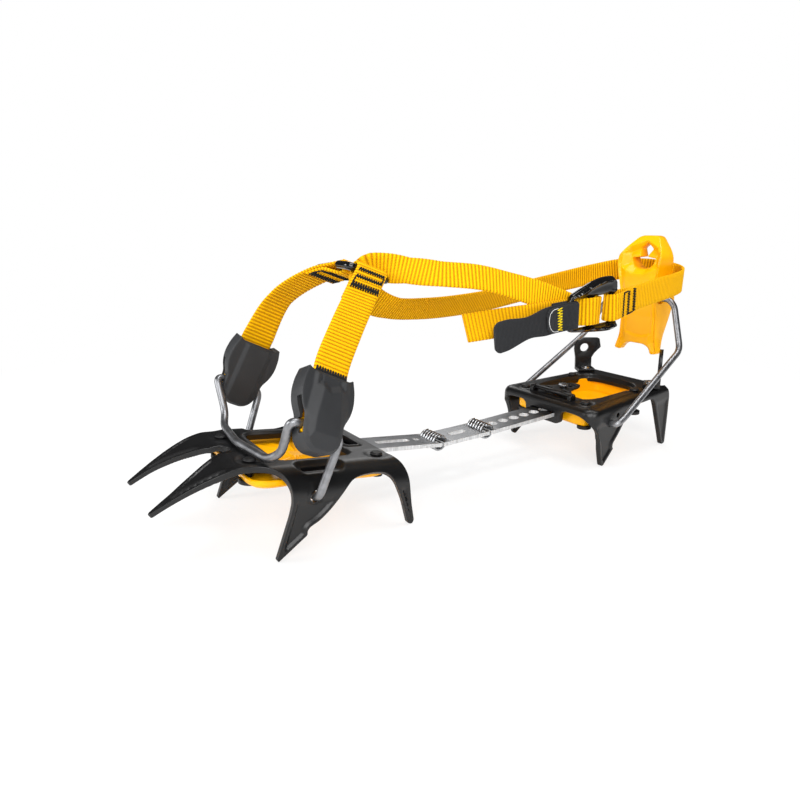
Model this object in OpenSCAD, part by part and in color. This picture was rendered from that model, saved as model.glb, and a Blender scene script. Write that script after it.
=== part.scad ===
// Ten-point strap-on crampon for a left boot, with a folding linking bar.
// +X runs from toe to heel, -Y is the outer side with the buckle, +Z is up.
// The part stands on eight points, and its origin is on the floor at the middle of its box.

/* [Front section] */
// Thickness of the stamped steel plates
plate_t = 3; // [2.4:0.1:3.6]
// Nose-up tilt of the front section as it stands on its points
front_pitch = 6.5; // [4:0.5:9]
// Height of the front plate's top at the front studs
front_h = 42.3; // [38:0.5:48]
// Half width of the front plate's flat top
front_half_w = 30; // [28:0.5:34]
// Outer radius where the front plate bends down into its points
front_bend_r = 12; // [9:0.5:14]
// Station of the front plate's rear edge
front_rear_u = 97; // [94:1:102]
// Front edge of the large window
window_u0 = 39; // [36:1:44]
// Rear edge of the large window
window_u1 = 77; // [70:1:80]
// Half width of the large window
window_half_w = 22.5; // [18:0.5:23]
// Forward reach of the two front points, measured at the tips
toe_tip_u = -17.5; // [-30:0.5:-12]
// Drop of the front points at their tips
toe_tip_drop = 19.5; // [14:0.5:24]
// Distance of a front point's tip from the middle
toe_tip_v = 20.4; // [17:0.2:24]

/* [Wires] */
// Diameter of the front bail's wire
front_wire_d = 4; // [3.4:0.1:4.6]
// Diameter of the rear bail's wire
rear_wire_d = 4; // [3.4:0.1:4.4]
// Clearance of a wire in its hole, all round
wire_clear = 0.3; // [0.2:0.05:0.5]

/* [Linking bar] */
// Width of the linking bar
bar_w = 20; // [19:0.5:24]
// Thickness of the linking bar
bar_t = 2.5; // [2:0.1:3]
// Length of the middle segment between its hinge lines
link_len = 36; // [30:1:45]
// Length of the rear segment from its hinge line to its end
bar_rear_len = 92; // [88:1:110]
// Spacing of the length holes
hole_pitch = 9; // [8:0.5:9]
// Diameter of the length holes
hole_d = 5.6; // [5.4:0.1:6]
// Tilt of the middle segment, heel end up
link_pitch = 1.5; // [0:0.5:4]
// Turns of a hinge coil
coil_turns = 6; // [4:1:6]
// Diameter of a hinge coil's wire
coil_wire_d = 1.6; // [1.2:0.1:1.7]
// Mean radius of a hinge coil
coil_r = 4.1; // [4:0.1:4.6]

/* [Rear section] */
// Tilt of the rear section, heel end up
rear_pitch = 3; // [0:0.5:5]
// Height of the rear plate's top over the bar's mid plane
rear_h = 9.9; // [9.4:0.1:14]
// Half width of the rear plate's flat top at its front
rear_half_w = 36; // [33:0.5:39]
// Outer radius where the rear plate bends down into its points
rear_bend_r = 5; // [4:0.5:6]
// Inward turn of the rear section's side walls towards the heel
rear_taper = 5; // [2:0.5:6]
// Station of the rear plate's front edge, from the rear hinge line
rear_front_s = 58; // [56:0.5:60]
// Length of the rear plate
rear_len = 78; // [74:1:84]

/* [Webbing] */
// Width of the toe straps
toe_strap_w = 18; // [15:0.5:19]
// Width of the ankle strap and the pull tab
ankle_strap_w = 15; // [12:0.5:16]
// Thickness of the webbing
web_t = 1.5; // [1.2:0.1:1.7]

/* [Plastic and buckle] */
// Wall of the moulded pieces
wall = 1.8; // [1.2:0.1:2.2]
// Height of the heel piece
heel_h = 80; // [70:1:90]
// Depth of the heel piece
heel_depth = 14; // [12:0.5:16]
// Height of the buckle at its sewn end
buckle_h = 28; // [26:0.5:32]
// Diameter of the strap ring's rod
ring_d = 4; // [3:0.2:4.4]
// Length of the strap ring over all
ring_len = 27; // [26:0.5:32]

/* [Hidden] */

$fn = 48;
eps = 0.01;
hull_fn = 24;
tall = 100;

// Soft clearance between pieces that only touch
gap = 0.3;
// Ends of the whole part along X, seen from the front plate's own stations, and so its middle
origin_x = 164.6;
// Station of the front plate that the tilt turns about
front_ref_u = 26;

// Small functions for places in the tilted sections
function front_xz(u, w) = [
    front_ref_u + (u - front_ref_u) * cos(front_pitch) + w * sin(front_pitch),
    front_h - (u - front_ref_u) * sin(front_pitch) + w * cos(front_pitch)];
function front_floor(u) = -(front_h - (u - front_ref_u) * sin(front_pitch)) / cos(front_pitch);
bar_w0 = -plate_t - bar_t / 2;
hinge1_u = 147;
hinge1 = front_xz(hinge1_u, bar_w0);
hinge2 = hinge1 + link_len * [cos(link_pitch), sin(link_pitch)];
function rear_floor(s) = -(hinge2[1] + s * sin(rear_pitch)) / cos(rear_pitch);
function rear_xz(s, t) = hinge2 + [s * cos(rear_pitch) - t * sin(rear_pitch),
    s * sin(rear_pitch) + t * cos(rear_pitch)];

module placed() {
    translate([-origin_x, 0, 0]) children();
}
// Puts the front section's own frame in its place: u along the plate, w above its top
module front_place() {
    translate([front_ref_u - origin_x, 0, front_h]) rotate([0, front_pitch, 0])
        translate([-front_ref_u, 0, 0]) children();
}
// Puts a bar frame in its place, with its hinge line at the start
module at_hinge(h, pitch) {
    translate([h[0] - origin_x, 0, h[1]]) rotate([0, -pitch, 0]) children();
}
module rear_place() {
    at_hinge(hinge2, rear_pitch) children();
}
// Extrudes a shape drawn in the side view across the part, between two widths
module across(v0, v1) {
    translate([0, v1, 0]) rotate([90, 0, 0]) linear_extrude(v1 - v0) children();
}
module both_sides() {
    children();
    mirror([0, 1, 0]) children();
}
module round_rect(x0, x1, half_w, r) {
    for (x = [x0 + r, x1 - r], y = [-half_w + r, half_w - r]) translate([x, y]) circle(r);
    translate([x0 + r, -half_w]) square([x1 - x0 - 2 * r, 2 * half_w]);
    translate([x0, -half_w + r]) square([x1 - x0, 2 * (half_w - r)]);
}
// Section of a plate whose sides bend down: flat top, round shoulders, straight walls
module bent_outline(half_w, r, depth) {
    translate([-half_w, -depth]) square([2 * half_w, depth]);
    for (x = [-half_w, half_w]) translate([x, -r]) circle(r);
    translate([-half_w - r, -depth]) square([2 * (half_w + r), depth - r]);
}
module bent_section(half_w, r, depth) {
    difference() {
        bent_outline(half_w, r, depth);
        translate([0, -plate_t]) bent_outline(half_w, r - plate_t, depth);
    }
}

// Vector helpers for swept wires and ribbons
function unit(v) = v / norm(v);
function along(a, b, f) = a + (b - a) * f;
// Rounds the corners of a path: each inner point becomes an arc drawn by three tangents
function rounded(p, r, n) = [for (i = [0:len(p) - 1])
    if (i == 0 || i == len(p) - 1) p[i]
    else let (a = unit(p[i - 1] - p[i]), b = unit(p[i + 1] - p[i]),
        cut = min(r, norm(p[i - 1] - p[i]) * 0.45, norm(p[i + 1] - p[i]) * 0.45))
        for (k = [0:n]) let (f = k / n)
            p[i] + cut * (a * (1 - f) * (1 - f) + b * f * f)];
function tangent(p, i) = unit(p[min(i + 1, len(p) - 1)] - p[max(i - 1, 0)]);
// Frames carried along a path without twist
function carried(p, i, n) = i == len(p) ? [] :
    let (t = tangent(p, i), m = unit(n - t * (n * t))) concat([m], carried(p, i + 1, m));
// A closed sweep of rings that all have the same number of points
module swept(rings) {
    k = len(rings[0]);
    m = len(rings);
    points = [for (r = rings) each r];
    sides = [for (i = [0:m - 2], j = [0:k - 1]) let (a = i * k + j, b = i * k + (j + 1) % k)
        each [[a, b, a + k], [b, b + k, a + k]]];
    start = [for (j = [1:k - 2]) [0, j + 1, j]];
    last = (m - 1) * k;
    end = [for (j = [1:k - 2]) [last, last + j, last + j + 1]];
    polyhedron(points, concat(sides, start, end));
}
function tube_rings(p, d, sides, first) = let (n = carried(p, 0, first))
    [for (i = [0:len(p) - 1]) let (t = tangent(p, i), b = cross(t, n[i]))
        [for (j = [0:sides - 1]) let (a = -360 * j / sides)
            p[i] + d / 2 * (n[i] * cos(a) + b * sin(a))]];
module wire(path, d, r, first) {
    swept(tube_rings(rounded(path, r, 5), d, 14, first));
}
// A ribbon's rings from rows of a centre and the direction of its width
function ribbon_ring(c, t, w_dir, w, th) = let (w0 = unit(w_dir - t * (w_dir * t)), n = cross(t, w0))
    [c + w0 * w / 2 + n * th / 2, c - w0 * w / 2 + n * th / 2,
        c - w0 * w / 2 - n * th / 2, c + w0 * w / 2 - n * th / 2];
module ribbon(rows, w, th) {
    p = [for (r = rows) r[0]];
    swept([for (i = [0:len(p) - 1]) ribbon_ring(p[i], tangent(p, i), rows[i][1], w, th)]);
}
// Smooth points between the rows of a hand-drawn route
function spline(a, b, c, d, f) = 0.5 * (2 * b + (c - a) * f + (2 * a - 5 * b + 4 * c - d) * f * f
    + (3 * b - a - 3 * c + d) * f * f * f);
function smooth(rows, n) = [for (i = [0:len(rows) - 2], k = [0:n - 1]) let (f = k / n,
        a = rows[max(i - 1, 0)], b = rows[i], c = rows[i + 1], d = rows[min(i + 2, len(rows) - 1)])
    [spline(a[0], b[0], c[0], d[0], f), unit(along(b[1], c[1], f))]];

// Front frame: one stamping with six points
side_tip_u = 33;
rear_tip_u = 105.5;
wire_hole_u = 49.5;
wire_hole_w = -12.4;
toe_root_u = 20;
toe_root_half = 29;
toe_crotch_u = 19;
stud_front_u = 26;
stud_front_v = 19.5;
stud_rear_u = 90.5;
stud_rear_v = 26;
stud_shaft_r = 2;
stud_head_r = 3.2;
front_wall_v = front_half_w + front_bend_r;

// Side view of the walls: shoulders, first side point with its barb, arch, rear point
module front_side_view() {
    t1 = front_floor(side_tip_u);
    t2 = front_floor(rear_tip_u);
    polygon([[-40, eps], [-40, -5], [33, -5.2], [36.5, -6.5], [38.6, -10], [38.8, -15],
        [36.6, -26.5], [side_tip_u, t1], [47.2, -30.5], [47, -28.5], [48.2, -27], [52.7, -24.5],
        [57.5, -20.2], [62, -14.9], [65.5, -10], [69, -7.4], [74, -6], [82, -5.4], [88, -6],
        [91.2, -8], [93.4, -11], [96, -15.5], [98.6, -20.5], [rear_tip_u - 2, t2 + 1.2],
        [rear_tip_u - 1, t2], [rear_tip_u + 0.8, t2], [rear_tip_u + 1.7, t2 + 2], [104.5, -23],
        [101.8, -11], [100.4, -6], [98.6, -2.4], [front_rear_u, eps]]);
}
// Plan: the sides run back as far as the rear points, the plate ends at its rear edge
module front_plan() {
    difference() {
        union() {
            translate([toe_root_u - 6, -toe_root_half]) square([30, 2 * toe_root_half]);
            translate([toe_root_u + 14, -60]) square([85, 120]);
            polygon([[24, -toe_root_half], [29, -30.5], [33, -33.5], [36.5, -38], [38, -45],
                [44, -45], [44, 45], [38, 45], [36.5, 38], [33, 33.5], [29, 30.5],
                [24, toe_root_half]]);
        }
        translate([front_rear_u, -front_half_w - 5]) square([60, 2 * front_half_w + 10]);
        translate([toe_crotch_u, 0]) circle(4.5);
        translate([toe_crotch_u - 20, -4.5]) square([20, 9]);
        round_rect(window_u0, window_u1, window_half_w, 5);
        round_rect(window_u1 + 5, window_u1 + 12, 11, 1.5);
        both_sides() translate([0, -front_half_w - 2]) round_rect(46, 64, 1.9, 1.8);
        both_sides() translate([stud_front_u, stud_front_v]) circle(stud_shaft_r + gap / 2);
        both_sides() translate([stud_rear_u, stud_rear_v]) circle(stud_shaft_r + gap / 2);
    }
}
// One front point, tapering in plan and curving down in the side view
module toe_point() {
    bend = [for (k = [0:10]) let (f = k / 10, u = along(toe_root_u, toe_tip_u, f))
        [u, -toe_tip_drop * pow(f, 1.45)]];
    intersection() {
        across(-front_half_w, front_half_w)
            polygon(concat(bend, [for (k = [10:-1:0]) bend[k] - [0.4, plate_t * 1.2 - 0.12 * k]]));
        translate([0, 0, -tall / 2]) linear_extrude(tall) polygon([
            [toe_root_u + 1, toe_root_half], [11, 28.4], [2, 26.4], [-8, 23.9],
            [toe_tip_u - 2, toe_tip_v + 1.2], [toe_tip_u - 2, toe_tip_v - 1.2],
            [-8, 17.3], [2, 13], [11, 8], [16, 5], [toe_root_u + 1, 4]]);
    }
}
module front_frame() {
    color("#1d1d1f") front_place() {
        difference() {
            intersection() {
                rotate([90, 0, 90]) translate([0, 0, -40]) linear_extrude(160)
                    bent_section(front_half_w, front_bend_r, tall);
                across(-tall, tall) front_side_view();
                translate([0, 0, -tall]) linear_extrude(2 * tall) front_plan();
            }
            rotate([90, 0, 0]) translate([wire_hole_u, wire_hole_w, -tall])
                cylinder(d = front_wire_d + 2 * wire_clear, h = 2 * tall);
        }
        both_sides() toe_point();
    }
}

// Front anti-balling plate: a shallow tray under the frame
tray_h = 6;
tray_half_w = 25;
tray_u0 = 22.5;
tray_u1 = front_rear_u - 1;
module front_anti_balling_plate() {
    boss_r = 3.6;
    color("#ffc20e") front_place() translate([0, 0, -plate_t - tray_h]) difference() {
        union() {
            linear_extrude(wall) round_rect(tray_u0, tray_u1, tray_half_w, 9);
            linear_extrude(tray_h) difference() {
                round_rect(tray_u0, tray_u1, tray_half_w, 9);
                round_rect(tray_u0 + wall, tray_u1 - wall, tray_half_w - wall, 9 - wall);
            }
            both_sides() {
                translate([stud_front_u, stud_front_v, 0]) cylinder(r = boss_r, h = tray_h);
                translate([stud_rear_u, stud_rear_v, 0]) cylinder(r = boss_r, h = tray_h);
            }
        }
        translate([tray_u1 - 8, -bar_w / 2 - gap, tray_h - bar_t - 1.6])
            cube([20, bar_w + 2 * gap, tray_h]);
        both_sides() {
            translate([stud_front_u, stud_front_v, -1])
                cylinder(r = stud_shaft_r + gap / 2, h = 2 * tray_h);
            translate([stud_rear_u, stud_rear_v, -1])
                cylinder(r = stud_shaft_r + gap / 2, h = 2 * tray_h);
        }
    }
}
// A push-in stud: low head above, shaft, broad head below
module stud(reach, foot_r) {
    cylinder(r1 = stud_head_r, r2 = stud_head_r - 0.8, h = 0.9);
    translate([0, 0, -reach - eps]) cylinder(r = stud_shaft_r, h = reach + 2 * eps);
    translate([0, 0, -reach - 2]) cylinder(r = foot_r, h = 2);
}
module front_plate_studs() {
    color("#161616") front_place() both_sides() {
        translate([stud_front_u, stud_front_v, 0]) stud(plate_t + tray_h, 4.6);
        translate([stud_rear_u, stud_rear_v, 0]) stud(plate_t + tray_h, 4.2);
    }
}

// Front bail: one wire from hole to hole, over both keepers and across the toe
bail_pivot = front_xz(wire_hole_u, wire_hole_w);
bail_leg_y = front_wall_v + front_wire_d / 2 + 0.6;
loop_y = 47;
loop_front = [39, 65];
loop_rear = [55.5, 57];
toe_bar_x = 31;
toe_bar_half = 32;
toe_bar_bow = 4;
toe_bar_z = front_xz(toe_bar_x, front_wire_d / 2 + gap)[1] + 0.4;
module front_bail() {
    half = [[bail_pivot[0], -front_wall_v + 7, bail_pivot[1]],
        [bail_pivot[0], -bail_leg_y, bail_pivot[1]],
        [loop_rear[0] + 3, -loop_y, loop_rear[1] - 1.45],
        [loop_front[0] - 4.5, -loop_y, loop_front[1] + 2.2],
        [toe_bar_x + 3.5, -toe_bar_half - 4.5, toe_bar_z + 5],
        [toe_bar_x, -toe_bar_half + 3, toe_bar_z]];
    path = concat(half, [[toe_bar_x - toe_bar_bow, 0, toe_bar_z + 0.6]],
        [for (i = [len(half) - 1:-1:0]) [half[i][0], -half[i][1], half[i][2]]]);
    color("#55575a") placed() wire(path, front_wire_d, 4.5, [1, 0, 0]);
}

// Strap keepers: moulded sleeves that hold the toe straps' lower loops on the wire
loop_dir = unit([loop_rear[0] - loop_front[0], 0, loop_rear[1] - loop_front[1]]);
loop_mid = [(loop_front[0] + loop_rear[0]) / 2, -loop_y, (loop_front[1] + loop_rear[1]) / 2];
loop_slope = atan2(loop_front[1] - loop_rear[1], loop_rear[0] - loop_front[0]);
keeper_lean = 24;
far_keeper_lean = 6;
far_strap_bow = [-2, -8, 8];
keeper_top = 24;
keeper_t = 11.5;
strap_loop_r = front_wire_d / 2 + gap + web_t / 2;
module at_keeper(lean) {
    translate(loop_mid) rotate([0, loop_slope, 0]) rotate([-lean, 0, 0]) children();
}
// Outline seen from outside: x along the wire, y up the strap
module keeper_outline(inset) {
    offset(delta = -inset) polygon([[-6, -9.2], [-7.8, -7], [-8.3, -2], [-8.5, 4], [-12.4, 11],
        [-12.6, 17], [-10.2, keeper_top - 2], [-9.6, keeper_top + 3], [-8.2, keeper_top],
        [8.2, keeper_top], [9.6, keeper_top + 3], [11.4, keeper_top - 2], [12.6, 16], [12.4, 11],
        [8.5, 4], [8.3, -2],
        [7.8, -7], [6, -9.2]]);
}
module strap_keeper() {
    slot_t = 2 * strap_loop_r + web_t + 2 * gap;
    difference() {
        rotate([90, 0, 0]) {
            translate([0, 0, -keeper_t / 2 + 1.5]) linear_extrude(keeper_t - 3) keeper_outline(0);
            translate([0, 0, -keeper_t / 2]) linear_extrude(keeper_t) keeper_outline(2);
        }
        translate([-toe_strap_w / 2 - gap, -slot_t / 2, -strap_loop_r - web_t / 2 - gap])
            cube([toe_strap_w + 2 * gap, slot_t, tall]);
        rotate([0, 90, 0]) translate([0, 0, -tall / 2])
            cylinder(d = front_wire_d + 3 * wire_clear, h = tall);
    }
}
module near_strap_keeper() {
    color("#3c3d40") placed() at_keeper(keeper_lean) strap_keeper();
}
module far_strap_keeper() {
    color("#3c3d40") placed() mirror([0, 1, 0]) at_keeper(far_keeper_lean) strap_keeper();
}

// Strap ring: a flat oval of rod, long side fore and aft, above the toe
ring_at = [97.5, 0, 122.5];
ring_slope = 20;
ring_bar_y = 6.5;
ring_corner = 3;
module strap_ring() {
    long = max(ring_len - ring_d - 2 * ring_corner, toe_strap_w - 0.6);
    short = 2 * (ring_bar_y - ring_corner);
    color("#19191b") placed() translate(ring_at) rotate([0, ring_slope, 0]) {
        for (side = [-1, 1]) {
            translate([-long / 2, side * ring_bar_y, 0]) rotate([0, 90, 0])
                cylinder(d = ring_d, h = long);
            translate([side * (long / 2 + ring_corner), short / 2, 0]) rotate([90, 0, 0])
                cylinder(d = ring_d, h = short);
        }
        for (turn = [0:3]) {
            x = (turn == 0 || turn == 3 ? 1 : -1) * long / 2;
            y = (turn < 2 ? 1 : -1) * short / 2;
            translate([x, y, 0]) rotate([0, 0, 90 * turn]) rotate_extrude(angle = 90)
                translate([ring_corner, 0]) circle(d = ring_d);
        }
    }
}

// Toe straps: doubled round the bail wire, up to the ring, over its bar and sewn down
toe_tail = 15;
ring_loop_r = ring_d / 2 + gap + web_t / 2;
function keeper_up(lean) = [sin(loop_slope) * cos(lean), sin(lean), cos(loop_slope) * cos(lean)];
function toe_strap_rows(keeper, bow) =
    let (up = keeper_up(keeper), w = loop_dir, out = -cross(up, w),
        bar = ring_at + [0, -ring_bar_y, 0], w_ring = [cos(ring_slope), 0, -sin(ring_slope)],
        low = loop_mid + out * strap_loop_r + up * (keeper_top + 8), aim = low + 2.2 * bow, lean = bar - aim,
        rise = unit(lean - w_ring * (lean * w_ring)), side = -unit(cross(rise, w_ring)),
        r = ring_loop_r, down = unit(aim - bar - side * r))
    concat(
        [[loop_mid - out * strap_loop_r + up * 16, w], [loop_mid - out * strap_loop_r, w]],
        [for (a = [30:30:150]) [loop_mid - out * strap_loop_r * cos(a) - up * strap_loop_r * sin(a), w]],
        [[loop_mid + out * strap_loop_r, w], [loop_mid + out * strap_loop_r + up * 16, w],
            [low - up * 4, w], [along(low, bar + side * r, 0.3) + 0.8 * bow, along(w, w_ring, 0.4)],
            [along(low, bar + side * r, 0.7) + 0.7 * bow, w_ring], [bar + side * (r + 0.2) + down * 6, w_ring],
            [bar + side * r, w_ring]],
        [for (a = [30:30:150]) [bar + side * r * cos(a) + rise * r * sin(a), w_ring]],
        [[bar - side * r, w_ring], [bar - side * r + down * 5, w_ring],
            [bar - side * (r - 1) + down * toe_tail, w_ring]]);
module near_toe_strap() {
    color("#ffc20e") placed() ribbon(toe_strap_rows(keeper_lean, [0, 0, 0]), toe_strap_w, web_t);
}
module far_toe_strap() {
    color("#ffc20e") placed() mirror([0, 1, 0])
        ribbon(toe_strap_rows(far_keeper_lean, far_strap_bow), toe_strap_w, web_t);
}

// Buckle: flat frame with a left bar for the pull tab, a middle bar and a sewn bar on the right
buckle_at = [220, -47, 101];
buckle_t = 3;
buckle_turn = 4;
buckle_bar = 3;
left_bar = -20;
mid_bar = -4;
right_bar = 13;
buckle_slot = ankle_strap_w + 1.2;
module at_buckle() {
    translate(buckle_at) rotate([0, -buckle_turn, 0]) children();
}
module buckle_frame() {
    half = buckle_h / 2;
    low = buckle_slot / 2 + 1.6;
    color("#121214") placed() at_buckle() across(-buckle_t / 2, buckle_t / 2) difference() {
        polygon([[left_bar - 1.5, -low + 2], [left_bar, -low], [-8, -low - 2.4], [4, -half + 1.2],
            [13, -half], [20.5, -half + 0.6], [22, -half + 2.6], [21.5, -buckle_slot / 2],
            [21.5, buckle_slot / 2], [20, half - 2], [18.5, half], [12, half - 0.6],
            [2, half - 4], [-8, low + 0.6], [left_bar, low], [left_bar - 1.5, low - 2]]);
        translate([left_bar + buckle_bar / 2, -buckle_slot / 2])
            square([mid_bar - left_bar - buckle_bar, buckle_slot]);
        translate([mid_bar + buckle_bar / 2, -buckle_slot / 2])
            square([right_bar - mid_bar - buckle_bar, buckle_slot]);
        translate([right_bar + buckle_bar / 2, -buckle_slot / 2]) square([20, buckle_slot]);
    }
}
// Pull tab: a strip of webbing folded round the left bar
module pull_tab() {
    bar_x = buckle_at[0] + left_bar * cos(buckle_turn);
    bar_z = buckle_at[2] + left_bar * sin(buckle_turn);
    y = buckle_at[1];
    k = gap + web_t / 2;
    r = buckle_t / 2 + k;
    up = [-sin(buckle_turn), 0, cos(buckle_turn)];
    rows = concat([[[bar_x - 12, y + r - 0.3, bar_z - 0.8], up], [[bar_x, y + r, bar_z], up]],
        [for (side = [1, -1], turn = [0, 45, 90]) let (a = side > 0 ? turn : 90 + turn)
            [[bar_x + buckle_bar / 2 + k * sin(a), y + side * buckle_t / 2 + k * cos(a), bar_z], up]],
        [[[bar_x, y - r, bar_z], up], [[bar_x - 14, y - r + 0.9, bar_z - 1], up],
            [[bar_x - 26, y - r + 1.4, bar_z - 3.4], up], [[bar_x - 40, y - r + 1.6, bar_z - 7], up],
            [[bar_x - 52, y - r + 1.2, bar_z - 9], up]]);
    color("#4a4b4d") placed() ribbon(rows, ankle_strap_w, web_t);
}

// Ankle strap: sewn to the buckle's right bar, round the heel, along the far side, up through
// the ring, back along the near side, round the buckle's middle bar and out as a free tail.
// Each row is a point chosen on the route and the direction across the webbing there.
function near_lean(a) = [0, sin(a), cos(a)];
function far_lean(a) = [0, -sin(a), cos(a)];
upright = [0, 0, 1];
ankle_route = [
    [[258, -43.2, 104.6], upright], [[246, -43.4, 103.8], upright], [[236, -43.4, 102.8], upright],
    [[231.2, -43.9, 102], upright], [[229.2, -47, 101.8], upright], [[231.2, -50.1, 102], upright],
    [[236, -50.4, 102.6], upright], [[248, -47, 104], upright], [[262, -43.6, 105.8], upright],
    [[282, -40.5, 108], upright], [[306, -36, 110], upright], [[326, -29, 111.4], upright],
    [[341, -18, 113], upright], [[348, -4, 114.6], upright], [[347, 12, 116], upright],
    [[338, 27, 115.6], upright], [[320, 37, 112], far_lean(4)], [[290, 42, 107], far_lean(8)],
    [[255, 41, 102.6], far_lean(12)], [[215, 34.6, 98.8], far_lean(18)],
    [[175, 24.4, 98.2], far_lean(25)], [[145, 14.6, 99.6], far_lean(32)],
    [[121, 7, 102.2], far_lean(40)], [[106, 2.4, 107.4], [0.6, -0.2, 0.7]],
    [[99, 0.8, 115.5], [0.9, 0, 0.1]], [[98.5, 0.8, 123], [0.94, 0, -0.34]],
    [[102, 1, 126.8], [0.85, -0.15, -0.5]], [[108.5, -1, 128.2], [0.6, -0.6, -0.5]],
    [[117, -11, 127], -near_lean(60)], [[128, -24, 124.6], -near_lean(52)],
    [[147, -33, 121.2], -near_lean(42)], [[165, -38, 116], -near_lean(30)],
    [[182, -40.4, 111], -near_lean(16)], [[198, -40.8, 105.6], -near_lean(6)],
    [[208, -41.1, 102.4], -upright], [[215, -41.8, 101.4], -upright],
    [[220.4, -44, 101.2], -upright], [[221.6, -47, 101.4], -upright],
    [[219.6, -50, 101.4], -upright], [[215, -50.6, 101.2], -upright],
    [[210.6, -48.6, 100.8], -upright], [[207.6, -45.4, 100.6], -upright],
    [[204, -43.2, 100.5], -upright], [[198, -42.6, 100.4], -upright],
    [[188, -42.5, 100], -upright],
    [[172, -42.4, 99.2], -near_lean(16)], [[156, -39.2, 97.9], -near_lean(34)],
    [[137, -34, 95.8], -near_lean(48)]];
module ankle_strap() {
    color("#ffc20e") placed() ribbon(smooth(ankle_route, 3), ankle_strap_w, web_t);
}

// Linking bar: three segments; each hinge end is a thin edge rod that the coil wraps
coil_pitch = 2.3;
coil_len = coil_turns * coil_pitch;
coil_out_r = coil_r + coil_wire_d / 2;
coil_in_r = coil_r - coil_wire_d / 2;
widest_fold = 35 + front_pitch + link_pitch;
edge_gap = bar_t / 2 * tan(widest_fold / 2) + 0.08;
edge_rod = sqrt(pow(coil_in_r - gap, 2) - pow(bar_t / 2, 2));
slot_end = coil_out_r + 2 * gap;
slot_half = coil_len / 2 + coil_wire_d + gap;
bar_tip_r = 4;
module bar_slot() {
    translate([edge_rod, -slot_half]) square([slot_end - edge_rod, 2 * slot_half]);
}
module bar_solid() {
    translate([0, 0, -bar_t / 2]) linear_extrude(bar_t) children();
}
bar_front_u0 = 80;
rivet_u = front_rear_u - 3.8;
rivet_r = 2.4;
module bar_front() {
    color("#6e7073") front_place() translate([hinge1_u, 0, bar_w0]) bar_solid() mirror([1, 0]) difference() {
        translate([edge_gap, -bar_w / 2]) square([hinge1_u - bar_front_u0 - edge_gap, bar_w]);
        bar_slot();
        round_rect(18, 40, 2.2, 2.1);
        translate([11, -1.6]) square(3.2);
        translate([hinge1_u - rivet_u, 0]) circle(rivet_r + gap / 4);
    }
}
// Bar end rivet: joins the front segment to the front frame's rear rim
module bar_end_rivet() {
    color("#8d9094") front_place() translate([rivet_u, 0, 0]) {
        translate([0, 0, -plate_t - bar_t - 1]) cylinder(r = rivet_r + 0.8, h = 1);
        translate([0, 0, -plate_t - bar_t - eps]) cylinder(r = rivet_r, h = bar_t + eps);
    }
}
module bar_middle() {
    color("#6e7073") at_hinge(hinge1, link_pitch) bar_solid() difference() {
        translate([edge_gap, -bar_w / 2]) square([link_len - 2 * edge_gap, bar_w]);
        bar_slot();
        translate([link_len, 0]) mirror([1, 0]) bar_slot();
        round_rect(link_len / 2 - 6, link_len / 2 + 6, 2.4, 2.3);
    }
}
first_hole = 10;
hole_count = 9;
module bar_rear() {
    color("#6e7073") rear_place() bar_solid() difference() {
        union() {
            translate([edge_gap, -bar_w / 2]) square([bar_rear_len - bar_tip_r - edge_gap, bar_w]);
            round_rect(bar_rear_len - 3 * bar_tip_r, bar_rear_len, bar_w / 2, bar_tip_r);
        }
        bar_slot();
        for (i = [0:hole_count - 1]) translate([first_hole + i * hole_pitch, 0]) circle(d = hole_d);
    }
}
// Hinge coil: one unbroken helix round both edge rods, with short straight ends
coil_rings = 8;
coil_sides = 6;
function coil_point(k) = let (a = 360 * k / coil_rings)
    [coil_r * sin(a), -coil_len / 2 + coil_pitch * k / coil_rings, coil_r * cos(a)];
coil_turn_points = [for (k = [0:coil_turns * coil_rings]) coil_point(k)];
coil_path = concat([coil_point(0) - [coil_wire_d, 0, 0]], coil_turn_points,
    [coil_point(coil_turns * coil_rings) + [coil_wire_d, 0, 0]]);
// Least distance between points more than half a turn apart, less the wire's own thickness
coil_self_gap = min([for (i = [0:len(coil_path) - 1], j = [0:len(coil_path) - 1])
    if (j - i > coil_rings / 2) norm(coil_path[i] - coil_path[j]) - coil_wire_d]);
echo(coil_self_gap = coil_self_gap);
module hinge_coil() {
    color("#5c5e61") swept(tube_rings(coil_path, coil_wire_d, coil_sides, [0, 0, 1]));
}
module front_hinge_coil() {
    at_hinge(hinge1, 0) hinge_coil();
}
module rear_hinge_coil() {
    at_hinge(hinge2, link_pitch) hinge_coil();
}

// Rear frame: plate with a large window, front flange with the bar's guide, four points
rear_end_s = rear_front_s + rear_len;
rear_tip_s = [66.4, 138.5];
rear_hole = [73, -1.8];
rear_hole_turn = 5;
guide_half = 15;
guide_low = -5.5;
guide_clear = 0.25;
rear_window = [68.5, 124];
rear_window_half = rear_half_w - 14;
pivot_s = rear_front_s + 4.5;
pin_s = first_hole + 7 * hole_pitch;
pin_r = 2.2;
pin_clear = 0.1;
hinge_pin_r = 1;
lever_t = 1.2;
lever_half = 14.5;
lever_lift = 2;
lever_z = rear_h + lever_lift + lever_t / 2;
rear_stud = [[64.5, rear_half_w - 10], [112, rear_half_w - 9.4]];
post_at = [129.8, rear_half_w - 4];
post_turn = 33;
post_foot = 9.5;
post_rivet_r = 2;
post_rivet = post_at - [sin(post_turn), cos(post_turn)] * (post_foot - 3.6);
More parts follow.
